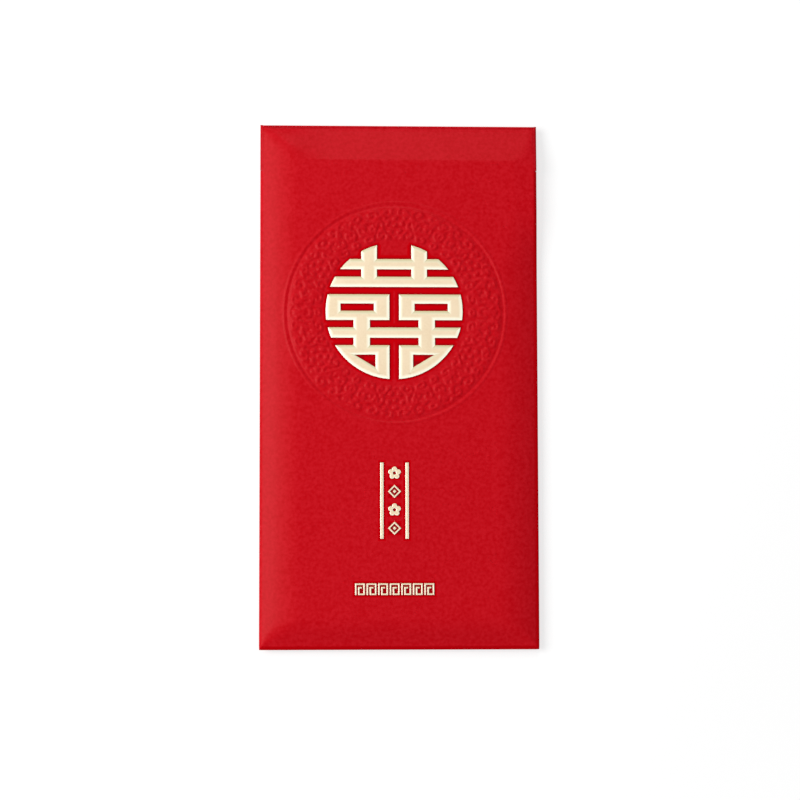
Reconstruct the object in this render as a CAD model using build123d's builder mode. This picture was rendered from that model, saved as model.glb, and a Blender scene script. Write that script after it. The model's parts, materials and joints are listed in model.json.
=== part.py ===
"""Red paper packet: one creased and glued sheet of card with gold foil stamping.

It lies on its back. X runs across the width, Y up the printed face and Z out of that face,
with the origin on the resting plane under the middle of the packet. All lengths are in mm.
"""

import os
from math import atan2, tan

from build123d import *

# Packet and its sheet
envelope_width = 90.0
envelope_height = 170.0
paper = 0.35
glue_film = 0.08
fold_slack = 0.3
fold_lead = 0.1

# Plumped faces: each margin slopes from a fold up to the flat middle, easing over at its break
front_rise = 2.5
back_drop = 2.0
left_margin = 8.5
right_margin = 7.5
bottom_margin = 9.0
top_margin = 11.3
left_ease = 6.0
right_ease = 5.0
bottom_ease = 5.0
ease_limit_share = 0.8

# Mouth, side tab and bottom flap
mouth_setback = 15.0
tab_width = 18.0
tab_end_gap = 2.0
tab_slant = 6.0
bottom_flap_length = 24.0
bottom_flap_inset = 2.6
bottom_flap_slant = 12.0
bottom_flap_corner = 5.0
seam_inset = 1.0

# Closing flap and the round fold that it turns on
closing_flap_length = 36.0
closing_flap_inset = 0.8
closing_flap_slant = 9.0
closing_flap_shoulder = 17.0
closing_flap_corner = 9.0
closing_flap_ease = 3.5
hinge_clearance = 0.1

# Print on the front: its middle line, and each group's height up the face as a share of the packet's
print_shift = -1.65
roundel_height_share = 0.1402
column_height_share = -0.2195
fret_height_share = -0.386

# Embossed ring round the roundel
ring_gap = 1.4
ring_width = 11.4
ring_lift = 0.12
ring_groove_width = 1.1
ring_groove_depth = 0.1

# Gold foil stampings
foil_height = 0.35
foil_bevel = 0.15

# Double-happiness roundel: strokes cut off by a circle, all as shares of its radius
roundel_radius = 22.2
top_bar_share = 0.764
bar_share = 0.1577
bar_gap_share = 0.1014
upright_width_share = 0.2342
upright_spread_share = 0.7297
box_share = 0.3829
box_hole_width_share = 0.4775
box_hole_height_share = 0.0991
box_hole_spread_share = 1.0766
stem_width_share = 0.2455
stem_spread_share = 0.9459
centre_gap_share = 0.1329
foot_notch_width_share = 0.2973
foot_notch_height_share = 0.1757
foot_notch_spread_share = 0.5541
foot_notch_drop_share = 0.1441

# Column of small ornaments between two rules
rule_length = 24.5
rule_width = 1.1
rule_spread = 8.1
ornament_pitch = 5.9
petal_count = 5
petal_radius = 0.85
petal_circle_radius = 1.25
blossom_eye_radius = 0.5
lozenge_side = 3.1
lozenge_line = 0.55
lozenge_heart = 0.9

# Band of square key frets
fret_count = 7
fret_pitch = 3.7
fret_width = 3.2
fret_height = 3.8
# Strokes of one fret as left, low, right, high shares of its width and height
fret_stroke_shares = (
    (0.0, 0.0, 0.17, 1.0),
    (0.0, 0.85, 1.0, 1.0),
    (0.83, 0.0, 1.0, 1.0),
    (0.3, 0.0, 1.0, 0.15),
    (0.3, 0.0, 0.47, 0.7),
    (0.3, 0.55, 0.7, 0.7),
)

# Places that follow from the sizes above
half_width = envelope_width / 2
half_height = envelope_height / 2
seam_stack = 3 * paper + glue_film + fold_slack
tight_fold = 2 * paper + fold_slack
fold_reach = seam_stack / 2 + fold_lead
rim_x = half_width - fold_reach
rim_y = fold_reach - half_height
hinge_radius = tight_fold / 2
hinge_y = half_height - hinge_radius
top_rim_y = half_height - tight_fold - hinge_clearance
mouth_y = half_height - mouth_setback

back_z = paper + glue_film
back_rim_z = back_z + back_drop
back_foot_z = back_rim_z + glue_film + paper
front_rim_z = back_rim_z + seam_stack
front_z = front_rim_z + front_rise
hinge_z = front_rim_z - hinge_radius
full_z = front_z + ring_lift + foil_height

left_break_x = left_margin - half_width
right_break_x = half_width - right_margin
bottom_break_y = bottom_margin - half_height
top_break_y = half_height - top_margin
fold_length = mouth_y - rim_y

roundel_y = roundel_height_share * envelope_height
column_y = column_height_share * envelope_height
fret_y = fret_height_share * envelope_height
ring_inner_radius = roundel_radius + ring_gap
ring_outer_radius = ring_inner_radius + ring_width


def ease_reach(run: float, ease: float) -> float:
    """How far the curve at a slope's break reaches each way."""
    return min(ease, ease_limit_share * run)


def ease_radius(run: float, rise: float, ease: float) -> float:
    """Radius of the curve at a slope's break."""
    return ease_reach(run, ease) / tan(atan2(rise, run) / 2)


def layer_of(former: Part, low: float, high: float) -> Part:
    """Sheet left between two copies of a forming block, shifted along Z."""
    with BuildPart() as layer:
        add(former.moved(Location((0, 0, low))))
        add(former.moved(Location((0, 0, high))), mode=Mode.SUBTRACT)
    return layer.part


def fold_strip(rim: Vector, outward: Vector, height: float, length: float) -> Part:
    """Bent strip of card along a crease: two leaves joined by a half turn.

    `rim` is the middle of the face where the leaves meet their panels.
    """
    lead = fold_reach - height / 2
    outer = height / 2
    inner = outer - paper
    section = Plane(origin=rim, x_dir=outward, z_dir=outward.cross(Vector(0, 0, 1)))
    with BuildPart() as strip:
        with BuildSketch(section):
            with BuildLine():
                Polyline((lead, outer), (0, outer), (0, inner), (lead, inner))
                ThreePointArc((lead, inner), (lead + inner, 0), (lead, -inner))
                Polyline((lead, -inner), (0, -inner), (0, -outer), (lead, -outer))
                ThreePointArc((lead, -outer), (lead + outer, 0), (lead, outer))
            make_face()
        extrude(amount=length / 2, both=True)
    return strip.part


# Forming block of the front: everything under the plumped face
with BuildPart() as front_former:
    with BuildSketch(Plane.XZ) as front_across:
        with BuildLine():
            Polyline(
                (-half_width, 0),
                (-half_width, front_rim_z),
                (-rim_x, front_rim_z),
                (left_break_x, front_z),
                (right_break_x, front_z),
                (rim_x, front_rim_z),
                (half_width, front_rim_z),
                (half_width, 0),
                close=True,
            )
        make_face()
        across_breaks = front_across.vertices().group_by(Axis.Y)[-1].sort_by(Axis.X)
        fillet(across_breaks[0], ease_radius(left_margin - fold_reach, front_rise, left_ease))
        across_breaks = front_across.vertices().group_by(Axis.Y)[-1].sort_by(Axis.X)
        fillet(across_breaks[-1], ease_radius(right_margin - fold_reach, front_rise, right_ease))
    extrude(amount=half_height, both=True)
    with BuildSketch(Plane.YZ) as front_along:
        with BuildLine():
            Polyline(
                (-half_height, 0),
                (-half_height, front_rim_z),
                (rim_y, front_rim_z),
                (bottom_break_y, front_z),
                (top_break_y, front_z),
                (top_rim_y, front_rim_z),
                (top_rim_y, 0),
                close=True,
            )
        make_face()
        along_break = front_along.vertices().group_by(Axis.Y)[-1].sort_by(Axis.X)[0]
        fillet(along_break, ease_radius(bottom_margin - fold_reach, front_rise, bottom_ease))
    extrude(amount=half_width, both=True, mode=Mode.INTERSECT)

# Forming block of the back: everything above its outer face, creased sharply along the bottom
with BuildPart() as back_former:
    with BuildSketch(Plane.XZ) as back_across:
        with BuildLine():
            Polyline(
                (-half_width, full_z),
                (-half_width, back_rim_z),
                (-rim_x, back_rim_z),
                (left_break_x, back_z),
                (right_break_x, back_z),
                (rim_x, back_rim_z),
                (half_width, back_rim_z),
                (half_width, full_z),
                close=True,
            )
        make_face()
        across_breaks = back_across.vertices().group_by(Axis.Y)[0].sort_by(Axis.X)
        fillet(across_breaks[0], ease_radius(left_margin - fold_reach, back_drop, left_ease))
        across_breaks = back_across.vertices().group_by(Axis.Y)[0].sort_by(Axis.X)
        fillet(across_breaks[-1], ease_radius(right_margin - fold_reach, back_drop, right_ease))
    extrude(amount=half_height, both=True)
    with BuildSketch(Plane.YZ):
        with BuildLine():
            Polyline(
                (-half_height, full_z),
                (-half_height, back_foot_z),
                (rim_y, back_foot_z),
                (bottom_break_y, back_z),
                (half_height, back_z),
                (half_height, full_z),
                close=True,
            )
        make_face()
    extrude(amount=half_width, both=True, mode=Mode.INTERSECT)

front_sheet = layer_of(front_former.part, 0, -paper)
ring_field_sheet = layer_of(front_former.part, ring_lift, 0)
ring_groove_sheet = layer_of(front_former.part, 0, -ring_groove_depth)
back_sheet = layer_of(back_former.part, 0, paper)
tab_sheet = layer_of(back_former.part, paper + glue_film, 2 * paper + glue_film)
flap_sheet = layer_of(back_former.part, -glue_film - paper, -glue_film)

# Embossed ring: a low raised field inside a pressed groove, following the face that they are pressed into
with BuildPart() as ring_field:
    add(ring_field_sheet)
    with BuildSketch():
        with Locations((print_shift, roundel_y)):
            Circle(ring_outer_radius - ring_groove_width)
            Circle(ring_inner_radius, mode=Mode.SUBTRACT)
    extrude(amount=full_z, mode=Mode.INTERSECT)

with BuildPart() as ring_groove:
    add(ring_groove_sheet)
    with BuildSketch():
        with Locations((print_shift, roundel_y)):
            Circle(ring_outer_radius)
            Circle(ring_outer_radius - ring_groove_width, mode=Mode.SUBTRACT)
    extrude(amount=full_z, mode=Mode.INTERSECT)

# Front leaf: full width above the mouth, set in below it where the folds begin
with BuildPart() as front_panel:
    add(front_sheet)
    with BuildSketch():
        with BuildLine():
            Polyline(
                (-rim_x, rim_y),
                (rim_x, rim_y),
                (rim_x, mouth_y),
                (half_width, mouth_y),
                (half_width, top_rim_y),
                (-half_width, top_rim_y),
                (-half_width, mouth_y),
                (-rim_x, mouth_y),
                close=True,
            )
        make_face()
    extrude(amount=full_z, mode=Mode.INTERSECT)
    add(ring_field.part)
    add(ring_groove.part, mode=Mode.SUBTRACT)
front_panel.part.label = "front_panel"

# Back leaf: from the left fold to a cut right edge, with the mouth along its top
with BuildPart() as back_panel:
    add(back_sheet)
    with BuildSketch():
        with BuildLine():
            Polyline((-rim_x, rim_y), (rim_x, rim_y), (rim_x, mouth_y), (-rim_x, mouth_y), close=True)
        make_face()
    extrude(amount=full_z, mode=Mode.INTERSECT)
back_panel.part.label = "back_panel"

# Creases that stay folded: left, right and bottom
fold_mid_y = (mouth_y + rim_y) / 2
wide_fold_z = front_rim_z - seam_stack / 2
left_fold = fold_strip(Vector(-rim_x, fold_mid_y, wide_fold_z), Vector(-1, 0, 0), seam_stack, fold_length)
left_fold.label = "left_fold"
right_fold = fold_strip(Vector(rim_x, fold_mid_y, hinge_z), Vector(1, 0, 0), tight_fold, fold_length)
right_fold.label = "right_fold"
bottom_fold = fold_strip(Vector(0, rim_y, wide_fold_z), Vector(0, -1, 0), seam_stack, 2 * rim_x)
bottom_fold.label = "bottom_fold"

# Glue tab inside the right edge, its ends cut on a slant
tab_low_y = rim_y + bottom_margin
tab_high_y = mouth_y - tab_end_gap
with BuildSketch() as tab_outline:
    with BuildLine():
        Polyline(
            (rim_x, tab_low_y),
            (rim_x, tab_high_y),
            (rim_x - tab_width, tab_high_y - tab_slant),
            (rim_x - tab_width, tab_low_y + tab_slant),
            close=True,
        )
    make_face()

with BuildPart() as side_tab:
    add(tab_sheet)
    extrude(tab_outline.sketch, amount=full_z, mode=Mode.INTERSECT)
side_tab.part.label = "side_tab"

# Its glue is one stripe on the level part of the back leaf
side_seam_low_x = rim_x - tab_width + seam_inset
side_seam_high_x = right_break_x - ease_reach(right_margin - fold_reach, right_ease) - seam_inset
with BuildPart() as side_seam_glue:
    with BuildSketch(Plane.XY.offset(back_z + paper)):
        with BuildLine():
            Polyline(
                (side_seam_low_x, tab_low_y + tab_slant),
                (side_seam_high_x, tab_low_y + tab_slant),
                (side_seam_high_x, tab_high_y - tab_slant),
                (side_seam_low_x, tab_high_y - tab_slant),
                close=True,
            )
        make_face()
    extrude(amount=glue_film)
side_seam_glue.part.label = "side_seam_glue"

# Bottom flap, glued to the outside of the back leaf
flap_root_x = rim_x - bottom_flap_inset
flap_tip_y = rim_y + bottom_flap_length
with BuildSketch() as bottom_flap_outline:
    with BuildLine():
        Polyline(
            (-flap_root_x, rim_y),
            (flap_root_x, rim_y),
            (flap_root_x - bottom_flap_slant, flap_tip_y),
            (bottom_flap_slant - flap_root_x, flap_tip_y),
            close=True,
        )
    make_face()
    fillet(bottom_flap_outline.vertices().group_by(Axis.Y)[-1], bottom_flap_corner)

with BuildPart() as bottom_flap:
    add(flap_sheet)
    extrude(bottom_flap_outline.sketch, amount=full_z, mode=Mode.INTERSECT)
bottom_flap.part.label = "bottom_flap"

# Its glue is one stripe on the level part of the back leaf
bottom_seam_x = flap_root_x - bottom_flap_slant - bottom_flap_corner
bottom_seam_low_y = bottom_break_y + seam_inset
bottom_seam_high_y = flap_tip_y - seam_inset
with BuildPart() as bottom_seam_glue:
    with BuildSketch(Plane.XY.offset(paper)):
        with BuildLine():
            Polyline(
                (-bottom_seam_x, bottom_seam_low_y),
                (bottom_seam_x, bottom_seam_low_y),
                (bottom_seam_x, bottom_seam_high_y),
                (-bottom_seam_x, bottom_seam_high_y),
                close=True,
            )
        make_face()
    extrude(amount=glue_film)
bottom_seam_glue.part.label = "bottom_seam_glue"

# Closing flap: a round fold along the top edge, a sloping root and a flat tongue behind the back leaf
closing_root_x = half_width - closing_flap_inset
closing_tip_y = half_height - closing_flap_length
closing_root_z = hinge_z - hinge_radius
with BuildPart() as closing_flap:
    with BuildSketch(Plane.YZ) as flap_section:
        with BuildLine():
            Polyline(
                (closing_tip_y, 0),
                (top_break_y, 0),
                (hinge_y, closing_root_z),
                (hinge_y, closing_root_z + paper),
                (top_break_y, paper),
                (closing_tip_y, paper),
                close=True,
            )
        make_face()
        flap_bends = flap_section.vertices().group_by(Axis.X)[1]
        fillet(flap_bends, ease_radius(top_margin - hinge_radius, closing_root_z, closing_flap_ease))
    extrude(amount=closing_root_x, both=True)
    with BuildSketch(Plane.YZ):
        with Locations((hinge_y, hinge_z)):
            Circle(hinge_radius)
    extrude(amount=closing_root_x, both=True)
    with BuildSketch() as closing_outline:
        with BuildLine():
            Polyline(
                (closing_root_x, half_height),
                (closing_root_x, half_height - closing_flap_shoulder),
                (closing_root_x - closing_flap_slant, closing_tip_y),
                (closing_flap_slant - closing_root_x, closing_tip_y),
                (-closing_root_x, half_height - closing_flap_shoulder),
                (-closing_root_x, half_height),
                close=True,
            )
        make_face()
        fillet(closing_outline.vertices().group_by(Axis.Y)[0], closing_flap_corner)
    extrude(amount=full_z, mode=Mode.INTERSECT)
closing_flap.part.label = "closing_flap"

# Strokes of the roundel, from the top bar down
top_bar_y = top_bar_share * roundel_radius
bar_height = bar_share * roundel_radius
bar_gap = bar_gap_share * roundel_radius
upright_width = upright_width_share * roundel_radius
upright_spread = upright_spread_share * roundel_radius
box_height = box_share * roundel_radius
box_hole_width = box_hole_width_share * roundel_radius
box_hole_height = box_hole_height_share * roundel_radius
box_hole_spread = box_hole_spread_share * roundel_radius
stem_width = stem_width_share * roundel_radius
stem_spread = stem_spread_share * roundel_radius
centre_gap = centre_gap_share * roundel_radius
second_bar_y = top_bar_y - bar_height - bar_gap
box_top_y = second_bar_y - bar_height - bar_gap
box_y = box_top_y - box_height / 2
cross_bar_y = box_top_y - box_height - bar_gap
foot_top_y = cross_bar_y - bar_height - bar_gap
upright_height = roundel_radius - second_bar_y + bar_height
stem_height = box_top_y - box_height - foot_top_y
foot_height = roundel_radius + foot_top_y
foot_y = foot_top_y - foot_height / 2
notch_x = foot_notch_spread_share * roundel_radius / 2
notch_y = foot_top_y - foot_notch_drop_share * roundel_radius
notch_width = foot_notch_width_share * roundel_radius
notch_height = foot_notch_height_share * roundel_radius
half_span = roundel_radius - centre_gap / 2
half_mid_x = (roundel_radius + centre_gap / 2) / 2
print_face = Plane((print_shift, 0, front_z))
roundel_face = Plane((print_shift, roundel_y, front_z))


def bevel_top(stamping: BuildPart) -> None:
    """Take the bevel off every edge of a stamping's upper face."""
    top_faces = stamping.faces().filter_by(Axis.Z).group_by(Axis.Z)[-1]
    chamfer(top_faces.edges(), foil_bevel)


# Upper half of the roundel: two bars through two uprights
with BuildPart() as roundel_top_foil:
    with BuildSketch(roundel_face):
        for bar_top in (top_bar_y, second_bar_y):
            with Locations((0, bar_top - bar_height / 2)):
                Rectangle(2 * roundel_radius, bar_height)
        with Locations((0, second_bar_y - bar_height + upright_height / 2)):
            with GridLocations(upright_spread, 0, 2, 1):
                Rectangle(upright_width, upright_height)
        Circle(roundel_radius, mode=Mode.INTERSECT)
    extrude(amount=foil_height)
    bevel_top(roundel_top_foil)
roundel_top_foil.part.label = "roundel_top_foil"

# Lower half: two boxes on stems, a bar across both and two feet
with BuildPart() as roundel_base_foil:
    with BuildSketch(roundel_face):
        with Locations((half_mid_x, box_y), (-half_mid_x, box_y)):
            Rectangle(half_span, box_height)
        with Locations((0, box_y)):
            with GridLocations(box_hole_spread, 0, 2, 1):
                Rectangle(box_hole_width, box_hole_height, mode=Mode.SUBTRACT)
        with Locations((0, foot_top_y + stem_height / 2)):
            with GridLocations(stem_spread, 0, 2, 1):
                Rectangle(stem_width, stem_height)
        with Locations((0, cross_bar_y - bar_height / 2)):
            Rectangle(2 * roundel_radius, bar_height)
        with Locations((half_mid_x, foot_y), (-half_mid_x, foot_y)):
            Rectangle(half_span, foot_height)
        Circle(roundel_radius, mode=Mode.INTERSECT)
        for side in (-1, 1):
            with BuildLine():
                Polyline(
                    (side * notch_x, notch_y),
                    (side * (notch_x + notch_width), notch_y),
                    (side * notch_x, notch_y - notch_height),
                    close=True,
                )
            make_face(mode=Mode.SUBTRACT)
    extrude(amount=foil_height)
    bevel_top(roundel_base_foil)
roundel_base_foil.part.label = "roundel_base_foil"

# Two upright rules
with BuildPart() as column_rules_foil:
    with BuildSketch(print_face):
        with Locations((0, column_y)):
            with GridLocations(rule_spread, 0, 2, 1):
                Rectangle(rule_width, rule_length)
    extrude(amount=foil_height)
    bevel_top(column_rules_foil)
column_rules_foil.part.label = "column_rules_foil"

# Ornaments between the rules, blossom and lozenge in turn down the column
blossom_ys = (column_y + 1.5 * ornament_pitch, column_y - 0.5 * ornament_pitch)
lozenge_ys = (column_y + 0.5 * ornament_pitch, column_y - 1.5 * ornament_pitch)

with BuildPart() as blossom_foil:
    with BuildSketch(print_face):
        for blossom_y in blossom_ys:
            with Locations((0, blossom_y)):
                Circle(petal_circle_radius)
                with PolarLocations(petal_circle_radius, petal_count, start_angle=90):
                    Circle(petal_radius)
                Circle(blossom_eye_radius, mode=Mode.SUBTRACT)
    extrude(amount=foil_height)
blossom_foil.part.label = "blossom_foil"

with BuildPart() as lozenge_foil:
    with BuildSketch(print_face):
        for lozenge_y in lozenge_ys:
            with Locations((0, lozenge_y)):
                Rectangle(lozenge_side, lozenge_side, rotation=45)
                lozenge_hole = lozenge_side - 2 * lozenge_line
                Rectangle(lozenge_hole, lozenge_hole, rotation=45, mode=Mode.SUBTRACT)
                Rectangle(lozenge_heart, lozenge_heart, rotation=45)
    extrude(amount=foil_height)
    bevel_top(lozenge_foil)
lozenge_foil.part.label = "lozenge_foil"

# Band of key frets
with BuildPart() as fret_foil:
    with BuildSketch(print_face):
        with Locations((0, fret_y)):
            with GridLocations(fret_pitch, 0, fret_count, 1):
                for left, low, right, high in fret_stroke_shares:
                    with Locations(((left - 0.5) * fret_width, (low - 0.5) * fret_height)):
                        Rectangle(
                            (right - left) * fret_width,
                            (high - low) * fret_height,
                            align=(Align.MIN, Align.MIN),
                        )
    extrude(amount=foil_height)
    bevel_top(fret_foil)
fret_foil.part.label = "fret_foil"

os.makedirs("parts", exist_ok=True)
export_step(front_panel.part, "parts/front_panel.step")
export_step(back_panel.part, "parts/back_panel.step")
export_step(left_fold, "parts/left_fold.step")
export_step(right_fold, "parts/right_fold.step")
export_step(bottom_fold, "parts/bottom_fold.step")
export_step(side_tab.part, "parts/side_tab.step")
export_step(side_seam_glue.part, "parts/side_seam_glue.step")
export_step(bottom_flap.part, "parts/bottom_flap.step")
export_step(bottom_seam_glue.part, "parts/bottom_seam_glue.step")
export_step(closing_flap.part, "parts/closing_flap.step")
export_step(roundel_top_foil.part, "parts/roundel_top_foil.step")
export_step(roundel_base_foil.part, "parts/roundel_base_foil.step")
export_step(column_rules_foil.part, "parts/column_rules_foil.step")
export_step(blossom_foil.part, "parts/blossom_foil.step")
export_step(lozenge_foil.part, "parts/lozenge_foil.step")
export_step(fret_foil.part, "parts/fret_foil.step")
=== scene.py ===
"""Red paper packet with an embossed ring and gold foil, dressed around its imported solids.

The packet lies on its back: X runs across it, Y up the printed face and Z out of that face.
Sizes are in metres.
"""

import json
import logging
import math
from dataclasses import dataclass
from enum import Enum
from typing import Sequence

import bmesh
import bpy
import numpy as np
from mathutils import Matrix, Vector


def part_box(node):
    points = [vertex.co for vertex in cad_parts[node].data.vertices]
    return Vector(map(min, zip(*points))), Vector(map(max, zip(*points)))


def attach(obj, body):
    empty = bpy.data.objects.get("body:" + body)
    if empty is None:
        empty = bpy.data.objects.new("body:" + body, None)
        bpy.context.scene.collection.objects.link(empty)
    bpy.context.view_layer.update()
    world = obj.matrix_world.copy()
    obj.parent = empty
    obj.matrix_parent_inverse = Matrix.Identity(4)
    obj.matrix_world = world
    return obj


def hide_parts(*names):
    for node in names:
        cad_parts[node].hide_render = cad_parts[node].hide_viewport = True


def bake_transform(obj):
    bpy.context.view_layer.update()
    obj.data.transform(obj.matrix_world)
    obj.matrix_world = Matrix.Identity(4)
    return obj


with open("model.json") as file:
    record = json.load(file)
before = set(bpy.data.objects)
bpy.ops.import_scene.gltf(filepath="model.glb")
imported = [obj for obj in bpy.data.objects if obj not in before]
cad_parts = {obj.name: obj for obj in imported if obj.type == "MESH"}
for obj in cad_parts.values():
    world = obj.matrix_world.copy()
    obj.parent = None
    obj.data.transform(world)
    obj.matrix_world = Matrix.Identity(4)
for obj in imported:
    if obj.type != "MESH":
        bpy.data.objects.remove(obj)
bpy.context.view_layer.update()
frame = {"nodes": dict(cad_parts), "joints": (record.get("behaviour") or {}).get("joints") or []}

LOG = logging.getLogger("red_packet")
MM = 0.001
# A length too small to see, for safe divisions and comparisons
HAIR = 0.002 * MM
# How rubbed the cut edges of the card are
EDGE_WEAR = 0.6

Colour = tuple[float, float, float, float]
Corner = tuple[float, float]
# Left, right, low and high ends
Box = tuple[float, float, float, float]


class Body(Enum):
    """The two bodies that pieces ride on."""

    PACKET = "packet"
    FLAP = "flap"


class Slot(Enum):
    """The record's material slots."""

    CARD = "red_card"
    FOIL = "gold_foil"
    GLUE = "seam_glue"


class Signal:
    """One output of a node, which takes part in sums as a number does."""

    def __init__(self, board: "NodeBoard", socket: bpy.types.NodeSocket) -> None:
        """Wrap a node's output socket."""
        self.board = board
        self.socket = socket

    def sibling(self, name: str) -> "Signal":
        """Another output of the same node, by name."""
        return Signal(self.board, self.socket.node.outputs[name])

    def maths(self, operation: str, first: object, second: object = 0.0) -> "Signal":
        """Add a Math node on two values.

        Args:
            operation: the Math node's operation.
            first: a signal or a number.
            second: a signal or a number.

        Returns:
            The result as a signal.
        """
        return self.board.value("ShaderNodeMath", {"operation": operation}, {0: first, 1: second})

    def __add__(self, other: object) -> "Signal":
        """Sum."""
        return self.maths("ADD", self, other)

    __radd__ = __add__

    def __sub__(self, other: object) -> "Signal":
        """Difference."""
        return self.maths("SUBTRACT", self, other)

    def __rsub__(self, other: object) -> "Signal":
        """Difference from a number."""
        return self.maths("SUBTRACT", other, self)

    def __mul__(self, other: object) -> "Signal":
        """Product."""
        return self.maths("MULTIPLY", self, other)

    __rmul__ = __mul__

    def __truediv__(self, other: object) -> "Signal":
        """Quotient."""
        return self.maths("DIVIDE", self, other)

    def __rtruediv__(self, other: object) -> "Signal":
        """Some value divided by this one."""
        return self.maths("DIVIDE", other, self)

    def __mod__(self, other: object) -> "Signal":
        """Remainder."""
        return self.maths("FLOORED_MODULO", self, other)

    def sine(self) -> "Signal":
        """Sine of an angle in radians."""
        return self.maths("SINE", self)

    def cosine(self) -> "Signal":
        """Cosine of an angle in radians."""
        return self.maths("COSINE", self)

    def size(self) -> "Signal":
        """Value without its sign."""
        return self.maths("ABSOLUTE", self)

    def length_with(self, other: "Signal") -> "Signal":
        """Length of the flat arrow that has this value across and another up."""
        return self.maths("SQRT", self * self + other * other)

    def larger(self, other: object) -> "Signal":
        """Larger of two values."""
        return self.maths("MAXIMUM", self, other)

    def smaller(self, other: object) -> "Signal":
        """Smaller of two values."""
        return self.maths("MINIMUM", self, other)

    def smooth(self, start: object, end: object, low: object = 0.0, high: object = 1.0) -> "Signal":
        """Ease from one value to another as this signal goes from start to end.

        Args:
            start: where the change begins.
            end: where the change ends.
            low: the result at start.
            high: the result at end.

        Returns:
            The eased value.
        """
        sockets = {"Value": self, "From Min": start, "From Max": end, "To Min": low, "To Max": high}
        return self.board.value("ShaderNodeMapRange", {"interpolation_type": "SMOOTHSTEP"}, sockets)


class NodeBoard:
    """A node tree with one way to add a node."""

    def __init__(self, tree: bpy.types.NodeTree) -> None:
        """Start from an empty tree."""
        self.tree = tree
        self.tree.nodes.clear()

    def feed(self, socket: bpy.types.NodeSocket, value: object) -> None:
        """Link a signal to a socket, or set the socket's own value.

        Args:
            socket: the input that is fed.
            value: a signal, or a value of the socket's kind.
        """
        if isinstance(value, Signal):
            self.tree.links.new(value.socket, socket)
        else:
            socket.default_value = value

    def add(self, kind: str, settings: dict | None = None, sockets: dict | None = None) -> bpy.types.Node:
        """Add any node.

        Args:
            kind: the node's type name.
            settings: its properties, which are set first.
            sockets: values or signals by input name or number.

        Returns:
            The node.
        """
        node = self.tree.nodes.new(kind)
        for name, value in (settings or {}).items():
            setattr(node, name, value)
        for key, value in (sockets or {}).items():
            self.feed(self.socket(node, key), value)
        return node

    @staticmethod
    def socket(node: bpy.types.Node, key: str | int) -> bpy.types.NodeSocket:
        """Find an input of a node.

        Args:
            node: the node.
            key: the input's number, or the name or identifier of a live one.

        Returns:
            The input.
        """
        if isinstance(key, int):
            return node.inputs[key]
        return next(item for item in node.inputs if item.enabled and key in (item.name, item.identifier))

    def value(self, kind: str, settings: dict | None = None, sockets: dict | None = None) -> Signal:
        """Add any node and take its first live output."""
        node = self.add(kind, settings, sockets)
        return Signal(self, next(output for output in node.outputs if output.enabled))

    def mixed(self, share: object, first: object, second: object) -> Signal:
        """Blend two colours.

        Args:
            share: how much of the second colour there is.
            first: a colour or a signal.
            second: a colour or a signal.

        Returns:
            The blended colour.
        """
        node = self.add("ShaderNodeMix", {"data_type": "RGBA"}, {0: share, 6: first, 7: second})
        return Signal(self, node.outputs[2])

    def place(self) -> Signal:
        """Object coordinates."""
        return self.value("ShaderNodeTexCoord").sibling("Object")

    def attribute(self, name: str) -> Signal:
        """Value that a piece's mesh carries under a name."""
        return self.value("ShaderNodeAttribute", {"attribute_name": name}).sibling("Fac")

    def noise(self, place: Signal, size: float, detail: float) -> Signal:
        """Noise whose features are about one given size across."""
        return self.value("ShaderNodeTexNoise", None, {"Vector": place, "Scale": 1 / size, "Detail": detail})

    def bump(self, height: Signal, depth: float) -> Signal:
        """Normal of a surface that stands up by a share of a depth."""
        return self.value("ShaderNodeBump", None, {"Strength": 1.0, "Distance": depth, "Height": height})


def new_material(name: str) -> tuple[bpy.types.Material, NodeBoard]:
    """Start a material.

    Args:
        name: its name.

    Returns:
        The material and its empty tree.
    """
    made = bpy.data.materials.new(name)
    made.use_nodes = True
    return made, NodeBoard(made.node_tree)


def put_in_scene(name: str, data: bpy.types.ID) -> bpy.types.Object:
    """Make an object of a mesh, a lamp or a camera.

    Args:
        name: the object's name.
        data: what it holds.

    Returns:
        The object, linked to the scene.
    """
    made = bpy.data.objects.new(name, data)
    bpy.context.scene.collection.objects.link(made)
    return made


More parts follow.
